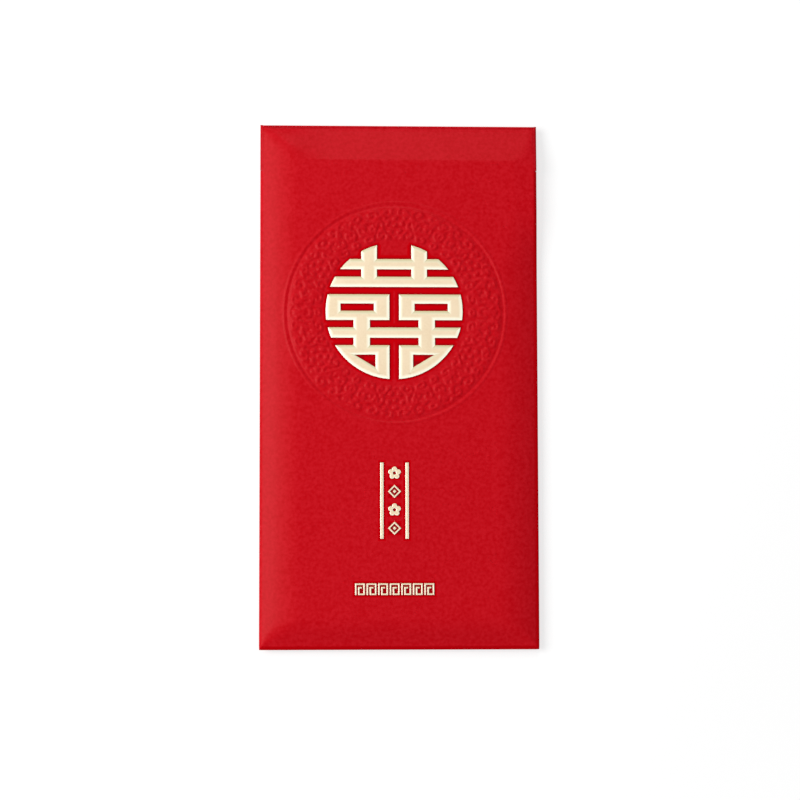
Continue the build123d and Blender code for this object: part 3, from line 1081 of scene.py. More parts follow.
@dataclass
class FrontLeaf:
    """Front of the packet with its three folded edges: one continuous sheet of card."""

    layout: Layout
    margins: Margins
    ring: PressedRing
    side_lines: int = 120
    shoulder_lines: int = 4
    crease_lines: int = 4
    ring_step: float = 0.32 * MM
    margin_step: float = 0.6 * MM
    upper_step: float = 0.9 * MM
    plain_step: float = 1.6 * MM
    square_room: float = 2.2 * MM
    ring_room: float = 0.8 * MM
    blend_rings: int = 7
    # Loops of points inside the ring, as shares of the radius of the loop round them
    core_shares: tuple[float, ...] = (0.8, 0.5, 0.2)
    shoulder: float = 0.7 * MM
    right_drop: float = 0.12 * MM
    bottom_drop: float = 0.42 * MM
    fold_steps: int = 8
    fold_start: float = math.radians(30.0)
    fold_middle_share: float = 0.35
    corner_share: float = 0.92
    tip_gap: float = 0.04 * MM
    ear_lean: float = 0.08
    # Wear below zero marks painted shade: card turned away to the right and bottom is painted darker, without
    # sheen
    turned_under: float = -0.9
    sway: float = 0.07 * MM
    # Radians across and along for each millimetre, and phase, of each wave in the sway
    sway_waves: tuple[tuple[float, float, float], ...] = (
        (0.11, 0.05, 0.4), (-0.07, 0.13, 1.9), (0.16, -0.09, 4.1), (0.03, 0.21, 2.7),
    )

    def height(self, x: np.ndarray, y: np.ndarray) -> np.ndarray:
        """Height of the plumped face.

        Args:
            x: places across.
            y: places along.

        Returns:
            The outer face's height at each place.
        """
        at, margins = self.layout, self.margins
        rise = at.front_z - at.front_rim_z
        left = eased_rise(x + at.rim_x, margins.left - at.reach, rise, margins.left_ease)
        crisp = fade(y, margins.crisp_start, margins.crisp_end)
        lift = margins.right_lift * crisp * fade(y, at.hinge_y, at.mouth_y)
        right_run = margins.right - at.reach - margins.right_lip
        right_ease = margins.right_ease * (1 - crisp) + margins.crisp_ease * crisp
        right = lift + eased_rise(at.rim_x - margins.right_lip - x, right_run, rise - lift, right_ease)
        bottom_run = margins.front_bottom - at.reach - margins.bottom_lip
        bottom = eased_rise(y - at.rim_y - margins.bottom_lip, bottom_run, rise, margins.bottom_ease)
        top_run = margins.top - (at.half_height - at.hinge_y) - margins.top_lip
        top = eased_rise(at.hinge_y - margins.top_lip - y, top_run, rise, margins.top_ease)
        corner = eased_rise(at.hinge_y - y, margins.corner_run, rise, margins.corner_ease)
        low = mitred(left, bottom, rise, margins.left_mitre)
        low = mitred(low, right, rise, margins.right_mitre)
        near_left = fade(x, margins.bevel_start, margins.bevel_end)
        cornered = mitred(low, corner, rise, margins.left_mitre)
        low = near_left * cornered + (1 - near_left) * mitred(low, top, rise, margins.right_mitre)
        over_right, over_bottom = self.over_shoulders(x, y)
        drop = np.maximum(self.right_drop * over_right**2, self.bottom_drop * over_bottom**2)
        return at.front_rim_z + low + self.sway_of(x, y) * low / rise - drop

    def over_shoulders(self, x: np.ndarray, y: np.ndarray) -> tuple[np.ndarray, np.ndarray]:
        """How far each place lies over the right and the bottom shoulder, from 0 to 1 at the rim."""
        right = np.clip((x - self.layout.rim_x) / self.shoulder + 1, 0, 1)
        return right, np.clip((self.layout.rim_y - y) / self.shoulder + 1, 0, 1)

    def sway_of(self, x: np.ndarray, y: np.ndarray) -> np.ndarray:
        """Faint unevenness of the card over a few centimetres."""
        total = sum(np.sin((a * x + b * y) / MM + phase) for a, b, phase in self.sway_waves)
        return self.sway * total / len(self.sway_waves)

    def lines(self) -> tuple[list[float], list[float], int, int]:
        """Lay out the grid round the ring's square.

        Returns:
            The lines across and along, and where the square begins in each.
        """
        at, margins = self.layout, self.margins
        half = self.ring.outer + self.square_room
        centre_x, centre_y = self.ring.centre
        low_x, high_x = centre_x - half, centre_x + half
        low_y, high_y = centre_y - half, centre_y + half
        square_step = 2 * half / self.side_lines
        shoulder_step = self.shoulder / self.shoulder_lines
        left = spread(-at.rim_x, low_x, self.margin_step)
        across = left + spread(low_x, high_x, square_step)
        across += spread(high_x, at.rim_x - self.shoulder, self.margin_step)
        across += spread(at.rim_x - self.shoulder, at.rim_x, shoulder_step)
        margin_end = at.rim_y + margins.bottom + margins.bottom_ease
        crease = at.half_height - margins.top
        crease_end = crease + self.crease_lines * margins.top_ease
        below = spread(at.rim_y, at.rim_y + self.shoulder, shoulder_step)
        below += spread(at.rim_y + self.shoulder, margin_end, self.margin_step)
        below += spread(margin_end, low_y, self.plain_step)
        along = below + spread(low_y, high_y, square_step)
        along += spread(high_y, at.mouth_y, self.upper_step)
        along += spread(at.mouth_y, crease, self.margin_step)
        along += spread(crease, crease_end, margins.top_ease)
        along += spread(crease_end, at.hinge_y, self.upper_step)
        return across + [at.rim_x], along + [at.hinge_y], len(left), len(below)

    def build(self, material: bpy.types.Material) -> None:
        """Make the sheet, press the ring into it, give it thickness and seat it.

        Args:
            material: the card's finish.
        """
        at = self.layout
        sketch = MeshSketch()
        across, along, start_i, start_j = self.lines()
        end_i, end_j = start_i + self.side_lines, start_j + self.side_lines
        grid: list[list[int]] = []
        for j, y in enumerate(along):
            ids = []
            for i, x in enumerate(across):
                hidden = start_i < i < end_i and start_j < j < end_j
                ids.append(-1 if hidden else sketch.row([(x, y, 0.0)])[0])
            grid.append(ids)
        for j in range(len(along) - 1):
            for i in range(len(across) - 1):
                if not (start_i <= i < end_i and start_j <= j < end_j):
                    sketch.faces.append((grid[j][i], grid[j][i + 1], grid[j + 1][i + 1], grid[j + 1][i]))
        square = [grid[start_j][i] for i in range(start_i, end_i)]
        square += [grid[j][end_i] for j in range(start_j, end_j)]
        square += [grid[end_j][i] for i in range(end_i, start_i, -1)]
        square += [grid[j][start_i] for j in range(end_j, start_j, -1)]
        self.fill_square(sketch, square)
        x, y, _ = np.array(sketch.points).T
        sketch.points = list(zip(x.tolist(), y.tolist(), self.height(x, y).tolist()))
        # The right and bottom shoulders below the mouth are painted in shade
        over_right, over_bottom = self.over_shoulders(x, y)
        over_right = np.where(y < at.mouth_y, over_right, 0)
        sketch.wear_and_shade = list(self.turned_under * np.maximum(over_right, over_bottom))
        mouth = min(range(len(along)), key=lambda j: abs(along[j] - at.mouth_y))
        self.add_folds(sketch, grid[: mouth + 1], across, along[: mouth + 1])
        self.add_ears(sketch, grid[mouth:], along[mouth:])
        leaf = sketch.to_object("front_leaf", material)
        self.ring.press(leaf, material)
        thicken(leaf, at.paper)
        settle(leaf, Body.PACKET, ["front_panel", "left_fold", "right_fold", "bottom_fold"])

    def fill_square(self, sketch: MeshSketch, square: Sequence[int]) -> None:
        """Fill the grid's square hole with rings that run round the roundel.

        Args:
            sketch: the mesh in the making.
            square: the points round the hole, from its lower left corner.
        """
        count = len(square)
        angles = -3 * math.pi / 4 + np.arange(count) * math.tau / count
        unit = np.stack([np.cos(angles), np.sin(angles)], axis=1)
        centre = np.array(self.ring.centre)
        rim = np.array([sketch.points[n][:2] for n in square])
        outer = self.ring.outer + self.ring_room
        inner = self.ring.inner - self.ring_room
        loops = []
        for share in np.linspace(0, 1, self.blend_rings + 1)[1:-1]:
            loops.append(rim * (1 - share) + (centre + unit * outer) * share)
        radii = [-radius for radius in spread(-outer, -inner, self.ring_step)] + [inner]
        radii += [inner * share for share in self.core_shares]
        loops += [centre + unit * radius for radius in radii]
        last = list(square)
        for loop in loops:
            ids = sketch.row([(x, y, 0.0) for x, y in loop])
            sketch.strip(last, ids, closed=True)
            last = ids
        sketch.fan(last, sketch.row([(*centre, 0.0)])[0])

    def turn(self, share: float) -> tuple[float, float]:
        """Section of a fold.

        Args:
            share: how far along the bend, from 0 at the front to 1 at the back.

        Returns:
            How far out the fold stands there, and how high, as shares of its reach and its height.
        """
        start, middle = self.fold_start, self.fold_middle_share
        angle = start - (start + math.pi / 2) * share
        if angle < 0:
            return math.cos(angle), middle * (1 + math.sin(angle))
        out = (math.cos(angle) - math.cos(start)) / (1 - math.cos(start))
        return out, middle + (1 - middle) * math.sin(angle) / math.sin(start)

    @staticmethod
    def add_corner(sketch: MeshSketch, side: int, before: Sequence[int], after: Sequence[int]) -> None:
        """Join two short rows of points at a corner.

        Args:
            sketch: the mesh in the making.
            side: -1 when the rows run anticlockwise round the corner, 1 when they run clockwise.
            before: the inner row.
            after: the outer row.
        """
        for at in range(len(before) - 1):
            face = list(dict.fromkeys((before[at], after[at], after[at + 1], before[at + 1])))
            if len(face) > 2:
                sketch.faces.append(tuple(face if side < 0 else reversed(face)))

    def add_folds(
        self, sketch: MeshSketch, grid: list[list[int]], across: Sequence[float], along: Sequence[float]
    ) -> None:
        """Turn the left, right and bottom edges under.

        Args:
            sketch: the mesh in the making.
            grid: the point numbers by row and column, up to the mouth.
            across: the grid lines across.
            along: the grid lines along, up to the mouth.
        """
        at = self.layout
        last_left, last_right, last_foot = [row[0] for row in grid], [row[-1] for row in grid], grid[0]
        tops = [sketch.points[n][2] for n in last_right]
        foot_tops = [sketch.points[n][2] for n in last_foot]
        corners = [[last_foot[end]] * 3 for end in (0, -1)]
        for step in range(1, self.fold_steps + 1):
            out_share, up = self.turn(step / self.fold_steps)
            out = at.reach * out_share
            left_z = at.back_rim_z + (at.front_rim_z - at.back_rim_z) * up
            # The left fold is rubbed more as it turns; the right and bottom folds are painted in shade
            ids = sketch.row([(-at.rim_x - out, y, left_z) for y in along], out_share)
            sketch.strip(last_left, ids)
            last_left = ids
            edge = [(at.rim_x + out, y, at.tight_z + (top - at.tight_z) * up) for y, top in zip(along, tops)]
            ids = sketch.row(edge, self.turned_under)
            sketch.strip(ids, last_right)
            last_right = ids
            heights = [at.back_rim_z + (top - at.back_rim_z) * up for top in foot_tops]
            foot = [(x, at.rim_y - out, z) for x, z in zip(across, heights)]
            if step < self.fold_steps:
                ids = sketch.row(foot, self.turned_under)
            else:
                ids = [last_left[0]] + sketch.row(foot[1:-1], self.turned_under) + [last_right[0]]
            sketch.strip(ids, last_foot)
            last_foot = ids
            square = self.corner_share * out
            for number, (side, end) in enumerate(((-1, last_left[0]), (1, last_right[0]))):
                corner = end
                if step < self.fold_steps:
                    place = (side * (at.rim_x + square), at.rim_y - square, sketch.points[end][2])
                    corner = sketch.row([place], self.turned_under)[0]
                after = [end, corner, ids[-1 if side > 0 else 0]]
                self.add_corner(sketch, side, corners[number], after)
                corners[number] = after

    def add_ears(self, sketch: MeshSketch, grid: list[list[int]], along: Sequence[float]) -> None:
        """Widen the leaf above the mouth, and lengthen its two corners beside the top fold.

        Args:
            sketch: the mesh in the making.
            grid: the point numbers by row and column, from the mouth up.
            along: the grid lines along, from the mouth up.
        """
        at = self.layout
        ends = (at.half_width, at.rim_x + self.tip_gap)
        for side, column in ((-1, 0), (1, -1)):
            last = [row[column] for row in grid]
            heights = [sketch.points[n][2] for n in last]
            outs = [at.half_width - self.ear_lean * (z - at.front_rim_z) for z in heights]
            ids = sketch.row([(side * out, y, z) for out, y, z in zip(outs, along, heights)], EDGE_WEAR)
            sketch.strip(*((last, ids) if side < 0 else (ids, last)))
            tip = sketch.row([(side * x, at.half_height, heights[-1]) for x in ends], EDGE_WEAR)
            self.add_corner(sketch, side, [last[-1], ids[-1]], [tip[1], tip[0]])


@dataclass
class BackLeaves:
    """Back leaf, glue tab and bottom flap, which lie one over another behind the pocket."""

    layout: Layout
    margins: Margins
    tab_width: float = 18.0 * MM
    tab_end_gap: float = 2.0 * MM
    tab_slant: float = 6.0 * MM
    tab_tip_share: float = 0.02
    flap_length: float = 24.0 * MM
    flap_inset: float = 2.6 * MM
    flap_slant: float = 12.0 * MM
    flap_corner: float = 5.0 * MM
    corner_lines: int = 12
    glue: float = 0.08 * MM
    side_mitre: float = 0.05 * MM
    foot_mitre: float = 0.08 * MM
    step: float = 1.0 * MM
    plain_step: float = 2.0 * MM

    def height(self, x: np.ndarray, y: np.ndarray) -> np.ndarray:
        """Height of the back leaf's outer face.

        Args:
            x: places across.
            y: places along.

        Returns:
            The height at each place.
        """
        at, margins = self.layout, self.margins
        drop = at.back_rim_z - at.back_z
        foot = at.back_foot_z - at.back_z
        left = drop - eased_rise(x + at.rim_x, margins.left - at.reach, drop, margins.left_ease)
        right = drop - eased_rise(at.rim_x - x, margins.right - at.reach, drop, margins.right_ease)
        bottom = foot - eased_rise(y - at.rim_y, margins.bottom - at.reach, foot, margins.top_ease)
        low = -soft_min(-left, -right, self.side_mitre)
        return at.back_z - soft_min(-low, -bottom, self.foot_mitre)

    def leaf(
        self, name: str, rows: Sequence[tuple[float, float, float]], lift: float, node: str,
        material: bpy.types.Material,
    ) -> None:
        """Make and seat one leaf that follows the back, facing down.

        Args:
            name: the piece's name.
            rows: left end, right end and place along of each row of points.
            lift: how far above the back leaf's outer face it lies.
            node: the solid that it stands for.
            material: the card's finish.
        """
        sketch = MeshSketch()
        count = round(max(high - low for low, high, _ in rows) / self.step) + 1
        wear_and_shade = rubbed_ends(count)
        sheet = []
        for low, high, along in rows:
            x, y = np.linspace(low, high, count), np.full(count, along)
            sheet.append((list(zip(x, y, self.height(x, y) + lift)), wear_and_shade))
        sketch.sheet(sheet)
        made = sketch.to_object(name, material)
        thicken(made, self.layout.paper)
        settle(made, Body.PACKET, [node])

    def build(self, material: bpy.types.Material) -> None:
        """Make the three leaves and seat them.

        Args:
            material: the card's finish.
        """
        at = self.layout
        crease = at.rim_y + self.margins.bottom - at.reach
        margin = spread(at.rim_y, crease, self.step)
        body = margin + spread(crease, at.mouth_y, self.plain_step) + [at.mouth_y]
        self.leaf("back_leaf", [(-at.rim_x, at.rim_x, y) for y in body], 0.0, "back_panel", material)

        tab_low = at.rim_y + self.margins.bottom
        tab_high = at.mouth_y - self.tab_end_gap
        rows = []
        for y in spread(tab_low, tab_high, self.step) + [tab_high]:
            share = min(y - tab_low, tab_high - y, self.tab_slant) / self.tab_slant
            rows.append((at.rim_x - self.tab_width * max(share, self.tab_tip_share), at.rim_x, y))
        self.leaf("glue_tab", rows, at.paper + self.glue, "side_tab", material)

        root = at.rim_x - self.flap_inset
        tip = at.rim_y + self.flap_length
        lines = margin + spread(crease, tip - self.flap_corner, self.step)
        angles = np.linspace(0, math.pi / 2, self.corner_lines)
        lines += [tip - self.flap_corner * math.cos(angle) ** 2 for angle in angles]
        rows = []
        for y in lines:
            half = root - self.flap_slant * (y - at.rim_y) / self.flap_length
            over = max(0.0, y - tip + self.flap_corner)
            half -= self.flap_corner - math.sqrt(max(0.0, self.flap_corner**2 - over**2))
            rows.append((-half, half, y))
        self.leaf("bottom_flap_leaf", rows, -self.glue - at.paper, "bottom_flap", material)


@dataclass
class ClosingFlap:
    """Flap that closes the mouth, and the round fold that it turns on."""

    layout: Layout
    margins: Margins
    length: float = 36.0 * MM
    inset: float = 0.82 * MM
    root_gap: float = 0.06 * MM
    slant: float = 9.0 * MM
    shoulder: float = 17.0 * MM
    corner: float = 9.0 * MM
    corner_lines: int = 15
    ease: float = 3.5 * MM
    step: float = 1.0 * MM
    root_step: float = 0.5 * MM
    fold_steps: int = 12

    def half_width_at(self, y: float) -> float:
        """Half the flap's width at a place along it.

        Args:
            y: the place along.

        Returns:
            The half width there.
        """
        at = self.layout
        root = at.half_width - self.inset
        tip = at.half_height - self.length
        shoulder = at.half_height - self.shoulder
        half = root - self.slant * max(0.0, shoulder - y) / (shoulder - tip)
        over = max(0.0, tip + self.corner - y)
        return half - self.corner + math.sqrt(max(0.0, self.corner**2 - over**2))

    def build(self, material: bpy.types.Material) -> None:
        """Make the flap and its fold, and seat the flap.

        Args:
            material: the card's finish.
        """
        at = self.layout
        tip = at.half_height - self.length
        crease = at.half_height - self.margins.top
        root = at.hinge_y - self.root_gap
        root_z = at.hinge_z - at.hinge_radius
        angles = spread(0.0, math.pi / 2, math.pi / 2 / self.corner_lines)
        lines = [tip + self.corner * math.sin(angle) ** 2 for angle in angles]
        lines += spread(tip + self.corner, crease - self.ease, self.step)
        lines += spread(crease - self.ease, root, self.root_step) + [root]
        count = round(2 * at.half_width / self.step) + 1
        heights = root_z - eased_rise(at.hinge_y - np.array(lines), at.hinge_y - crease, root_z, self.ease)
        wear_and_shade = rubbed_ends(count)
        rows = []
        for y, z in zip(lines, heights):
            half = self.half_width_at(y)
            rows.append(([(x, y, z) for x in np.linspace(-half, half, count)], wear_and_shade))
        sketch = MeshSketch()
        sketch.sheet(rows)
        flap = sketch.to_object("closing_flap_leaf", material)
        thicken(flap, at.paper)
        settle(flap, Body.FLAP, ["closing_flap"])
        self.fold(material)

    def fold(self, material: bpy.types.Material) -> None:
        """Make the half turn of card between the front leaf and the flap.

        Args:
            material: the card's finish.
        """
        at = self.layout
        half = at.half_width - self.inset
        across = np.linspace(-half, half, round(2 * half / self.step) + 1)
        rows = []
        for angle in np.linspace(-math.pi / 2, math.pi / 2, self.fold_steps + 1):
            y = at.hinge_y + at.hinge_radius * math.cos(angle)
            z = at.hinge_z + at.hinge_radius * math.sin(angle)
            rows.append(([(x, y, z) for x in across], math.cos(angle)))
        sketch = MeshSketch()
        sketch.sheet(rows)
        made = sketch.to_object("top_fold", material)
        thicken(made, at.paper)
        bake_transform(made)
        LOG.info("%s bends between packet and flap", made.name)


@dataclass(frozen=True)
class Outline:
    """Closed outline with the foil on its left, whose stretches from circle to circle follow the circle."""

    corners: tuple[Corner, ...]
    circle: float = 0.0
    arc_step: float = math.radians(2.0)
    # Longest move of a sharp corner, as a share of the inset
    corner_share: float = 2.0

    def follows(self, first: np.ndarray, second: np.ndarray) -> bool:
        """Whether the stretch between two corners is an arc."""
        off = abs(np.hypot(*first) - self.circle) + abs(np.hypot(*second) - self.circle)
        return self.circle > 0 and off < HAIR

    def moved(self, inset: float) -> np.ndarray:
        """Outline moved into the foil.

        Args:
            inset: how far every stretch moves.

        Returns:
            Its points; their number does not depend on the inset.
        """
        corners = [np.array(corner) for corner in self.corners]
        count = len(corners)
        arcs = [self.follows(corners[at], corners[(at + 1) % count]) for at in range(count)]
        shifted = []
        for at, corner in enumerate(corners):
            before = self.left_of(corners[at - 1], corner)
            after = self.left_of(corner, corners[(at + 1) % count])
            if arcs[at - 1] or arcs[at]:
                left = after if arcs[at - 1] else before
                shifted.append(self.meet(corner + left * inset, left, self.circle - inset, corner))
            else:
                both = before + after
                size = np.hypot(*both)
                shifted.append(corner + both / size * min(2 / size, self.corner_share) * inset)
        points = []
        for at in range(count):
            points.append(shifted[at])
            if arcs[at]:
                after = (at + 1) % count
                _, sweep = self.arc(corners[at], corners[after])
                steps = round(sweep / self.arc_step) + 2
                start, sweep = self.arc(shifted[at], shifted[after])
                for angle in np.linspace(start, start + sweep, steps)[1:-1]:
                    points.append((self.circle - inset) * np.array([math.cos(angle), math.sin(angle)]))
        return np.array(points)

    @staticmethod
    def arc(first: np.ndarray, second: np.ndarray) -> tuple[float, float]:
        """Angle of one point about the middle, and the turn to the left from it to another."""
        start = math.atan2(first[1], first[0])
        return start, (math.atan2(second[1], second[0]) - start) % math.tau

    @staticmethod
    def left_of(first: np.ndarray, second: np.ndarray) -> np.ndarray:
        """Unit direction to the left of the way from one point to another."""
        along = (second - first) / np.hypot(*(second - first))
        return np.array([-along[1], along[0]])

    @staticmethod
    def meet(place: np.ndarray, left: np.ndarray, radius: float, corner: np.ndarray) -> np.ndarray:
        """Where a line meets the circle, on the side of the corner.

        Args:
            place: a point of the line.
            left: the unit direction across the line.
            radius: the circle's radius.
            corner: the corner that tells the side.

        Returns:
            The meeting point.
        """
        foot = left * np.dot(place, left)
        along = np.array([left[1], -left[0]])
        reach = math.sqrt(max(0.0, radius**2 - np.dot(foot, foot)))
        ends = [foot + along * reach, foot - along * reach]
        return min(ends, key=lambda end: np.hypot(*(end - corner)))


@dataclass
class Stamping:
    """One bevelled piece of foil, cut from flat outlines."""

    wall: float = 0.27 * MM
    height: float = 0.35 * MM
    sink: float = 0.12 * MM
    bevel_width: float = 1.25 * MM
    trim: float = 0.1 * MM
    # Steps of the bevel as shares of its width and of its rise
    bevel_shares: tuple[tuple[float, float], ...] = ((0.1, 0.3), (0.3, 0.62), (0.6, 0.88), (1.0, 1.0))
    # How late the bevel's painted highlight gives way to the face's colour
    bevel_power: int = 6

    def build(self, name: str, outlines: Sequence[Outline], material: bpy.types.Material) -> bpy.types.Object:
        """Make the piece about its own origin, standing on height 0.

        Args:
            name: the piece's name.
            outlines: the outlines, holes among them.
            material: the foil's finish.

        Returns:
            The object.
        """
        shape = bmesh.new()
        # Share of painted highlight at each point of the bevel
        bevel = shape.verts.layers.float.new("bevel")
        shade = shape.loops.layers.float.new("shade")
        rim = self.sink + self.wall
        levels = [(0.0, 0.0, 1.0), (0.0, rim, 1.0)]
        for width_share, rise_share in self.bevel_shares:
            rise = rise_share * (self.height - self.wall)
            levels.append((width_share * self.bevel_width, rim + rise, 1.0 - rise_share**self.bevel_power))
        caps: tuple[list, list] = ([], [])
        for outline in outlines:
            rings = []
            rim_points = outline.moved(self.trim)
            sides = np.roll(rim_points, -1, axis=0) - rim_points
            # How far each side faces up the print, which sets the painted shade on its bevel
            upward = np.clip(-sides[:, 0] / np.hypot(sides[:, 0], sides[:, 1]), 0, 1)
            for inset, z, share in levels:
                ring = [shape.verts.new((x, y, z)) for x, y in outline.moved(self.trim + inset)]
                for vert in ring:
                    vert[bevel] = share
                rings.append(ring)
            count = len(rings[0])
            for lower, upper in zip(rings, rings[1:]):
                for at in range(count):
                    after = (at + 1) % count
                    face = shape.faces.new((lower[at], lower[after], upper[after], upper[at]))
                    for corner in face.loops:
                        corner[shade] = corner.vert[bevel] * upward[at]
            for cap, ring in zip(caps, (rings[0], rings[-1])):
                cap.extend(shape.edges.get((ring[at - 1], ring[at])) for at in range(count))
        for cap in caps:
            bmesh.ops.triangle_fill(shape, use_beauty=True, edges=cap)
        bmesh.ops.recalc_face_normals(shape, faces=shape.faces)
        mesh = bpy.data.meshes.new(name)
        shape.to_mesh(mesh)
        shape.free()
        mesh.materials.append(material)
        return put_in_scene(name, mesh)


@dataclass
class Roundel:
    """Double-happiness roundel: strokes cut off by a circle, as shares of its radius."""

    layout: Layout
    top_bar_share: float = 0.764
    bar_share: float = 0.1577
    gap_share: float = 0.1014
    upright_width_share: float = 0.2342
    upright_spread_share: float = 0.7297
    box_share: float = 0.3829
    hole_width_share: float = 0.4775
    hole_height_share: float = 0.0991
    hole_spread_share: float = 1.0766
    stem_width_share: float = 0.2455
    stem_spread_share: float = 0.9459
    centre_gap_share: float = 0.1329
    notch_width_share: float = 0.2973
    notch_height_share: float = 0.1757
    notch_spread_share: float = 0.5541
    notch_drop_share: float = 0.1441
    # The part of a notch that a box fills
    notch_fill_share: float = 0.6

    def levels(self) -> tuple[float, float, float, float, float]:
        """Work out the heights of the strokes.

        Returns:
            The tops of the second bar and of the boxes, the foot of the boxes, and the tops of the bar across
            them and of the feet.
        """
        pitch = self.bar_share + self.gap_share
        box_top = self.top_bar_share - 2 * pitch
        box_low = box_top - self.box_share
        cross = box_low - self.gap_share
        return self.top_bar_share - pitch, box_top, box_low, cross, cross - pitch

    @staticmethod
    def ends(spread_share: float, width_share: float) -> tuple[float, float]:
        """Near and far ends, right of the middle line, of a pair of strokes."""
        return (spread_share - width_share) / 2, (spread_share + width_share) / 2

    @staticmethod
    def on_circle(y: float) -> Corner:
        """Point of the right half of the unit circle at one height."""
        return math.sqrt(1 - y * y), y

    @staticmethod
    def under_circle(x: float, side: int) -> Corner:
        """Point of the upper or lower half of the unit circle at one place across."""
        return x, side * math.sqrt(1 - x * x)

    @staticmethod
    def mirrored(half: Sequence[Corner]) -> list[Corner]:
        """Right half of an outline with its mirror image after it."""
        return list(half) + [(-x, y) for x, y in reversed(half)]

    def outline(self, corners: Sequence[Corner], hole: bool = False) -> Outline:
        """Outline through corners that are shares of the radius.

        Args:
            corners: the corners, going round to the left.
            hole: whether they bound a hole.

        Returns:
            The outline at its full size.
        """
        radius = self.layout.roundel_radius
        points = [(x * radius, y * radius) for x, y in corners]
        return Outline(tuple(reversed(points) if hole else points), radius)

    def top_outlines(self) -> list[Outline]:
        """Draw the upper piece: two bars through two uprights.

        Returns:
            Its outlines.
        """
        bar, first = self.bar_share, self.top_bar_share
        second, *_ = self.levels()
        near, far = self.ends(self.upright_spread_share, self.upright_width_share)
        half = [
            self.on_circle(second - bar), self.on_circle(second), (far, second), (far, first - bar),
            self.on_circle(first - bar), self.on_circle(first), (far, first), self.under_circle(far, 1),
            self.under_circle(near, 1), (near, first),
        ]
        window = [(near, second), (near, first - bar), (-near, first - bar), (-near, second)]
        return [self.outline([(0.0, second - bar)] + self.mirrored(half)), self.outline(window, hole=True)]

    def base_outlines(self) -> list[Outline]:
        """Draw the lower piece: two boxes on stems, a bar across both and two feet.

        Returns:
            Its outlines.
        """
        bar, middle = self.bar_share, self.centre_gap_share / 2
        _, box_top, box_low, cross, foot = self.levels()
        near, far = self.ends(self.stem_spread_share, self.stem_width_share)
        half = [
            (near, cross - bar), (near, foot), (middle, foot), self.under_circle(middle, -1),
            self.on_circle(foot), (far, foot), (far, cross - bar), self.on_circle(cross - bar),
            self.on_circle(cross), (far, cross), (far, box_low), self.on_circle(box_low),
            self.on_circle(box_top), (middle, box_top), (middle, box_low), (near, box_low), (near, cross),
        ]
        outlines = [self.outline(self.mirrored(half))]
        *sides, hole_low, hole_high = self.hole()
        notch_near, notch_far, notch_low, notch_high = self.notch(1.0)
        notch = [(notch_near, notch_high), (notch_far, notch_high), (notch_near, notch_low)]
        for side in (-1, 1):
            left, right = sorted(side * x for x in sides)
            hole = [(left, hole_low), (right, hole_low), (right, hole_high), (left, hole_high)]
            outlines.append(self.outline(hole, hole=True))
            outlines.append(self.outline([(side * x, y) for x, y in notch], hole=side < 0))
        return outlines

    def hole(self) -> Box:
        """Place the hole in the right-hand box.

        Returns:
            Its ends as shares of the radius.
        """
        _, box_top, box_low, *_ = self.levels()
        middle, rise = (box_top + box_low) / 2, self.hole_height_share / 2
        return *self.ends(self.hole_spread_share, self.hole_width_share), middle - rise, middle + rise

    def notch(self, fill: float) -> Box:
        """Place the notch in the right-hand foot.

        Args:
            fill: the part of its width and height that is taken.

        Returns:
            Its ends as shares of the radius.
        """
        near, high = self.notch_spread_share / 2, self.levels()[-1] - self.notch_drop_share
        return near, near + self.notch_width_share * fill, high - self.notch_height_share * fill, high

    def full_size(self, boxes: Sequence[Box]) -> tuple[Box, ...]:
        """Boxes at their full size, from shares of the radius."""
        return tuple(tuple(share * self.layout.roundel_radius for share in box) for box in boxes)

    def holes(self) -> tuple[Box, ...]:
        """Boxes inside the hole and the notch right of the middle line, from the circle's centre."""
        return self.full_size((self.hole(), self.notch(self.notch_fill_share)))

    def boxes(self) -> tuple[Box, ...]:
        """Find boxes that the strokes cover.

        Returns:
            The boxes right of the middle line, from the circle's centre.
        """
        bar, first, middle = self.bar_share, self.top_bar_share, self.centre_gap_share / 2
        second, box_top, box_low, cross, foot = self.levels()
        return self.full_size((
            (0.0, 1.0, first - bar, first),
            (0.0, 1.0, second - bar, second),
            (*self.ends(self.upright_spread_share, self.upright_width_share), second, 1.0),
            (middle, 1.0, box_low, box_top),
            (*self.ends(self.stem_spread_share, self.stem_width_share), foot, box_low),
            (0.0, 1.0, cross - bar, cross),
            (middle, 1.0, -1.0, foot),
        ))

    def build(self, material: bpy.types.Material) -> None:
        """Make both pieces and seat them on the front.

        Args:
            material: the foil's finish.
        """
        at = self.layout
        stamping = Stamping()
        shift = np.array([at.print_x, at.roundel_y, at.front_z - stamping.sink])
        for name, outlines, node in (
            ("roundel_top_stamping", self.top_outlines(), "roundel_top_foil"),
            ("roundel_base_stamping", self.base_outlines(), "roundel_base_foil"),
        ):
            piece = stamping.build(name, outlines, material)
            for vert in piece.data.vertices:
                vert.co = np.array(vert.co) + shift
            settle(piece, Body.PACKET, [node])


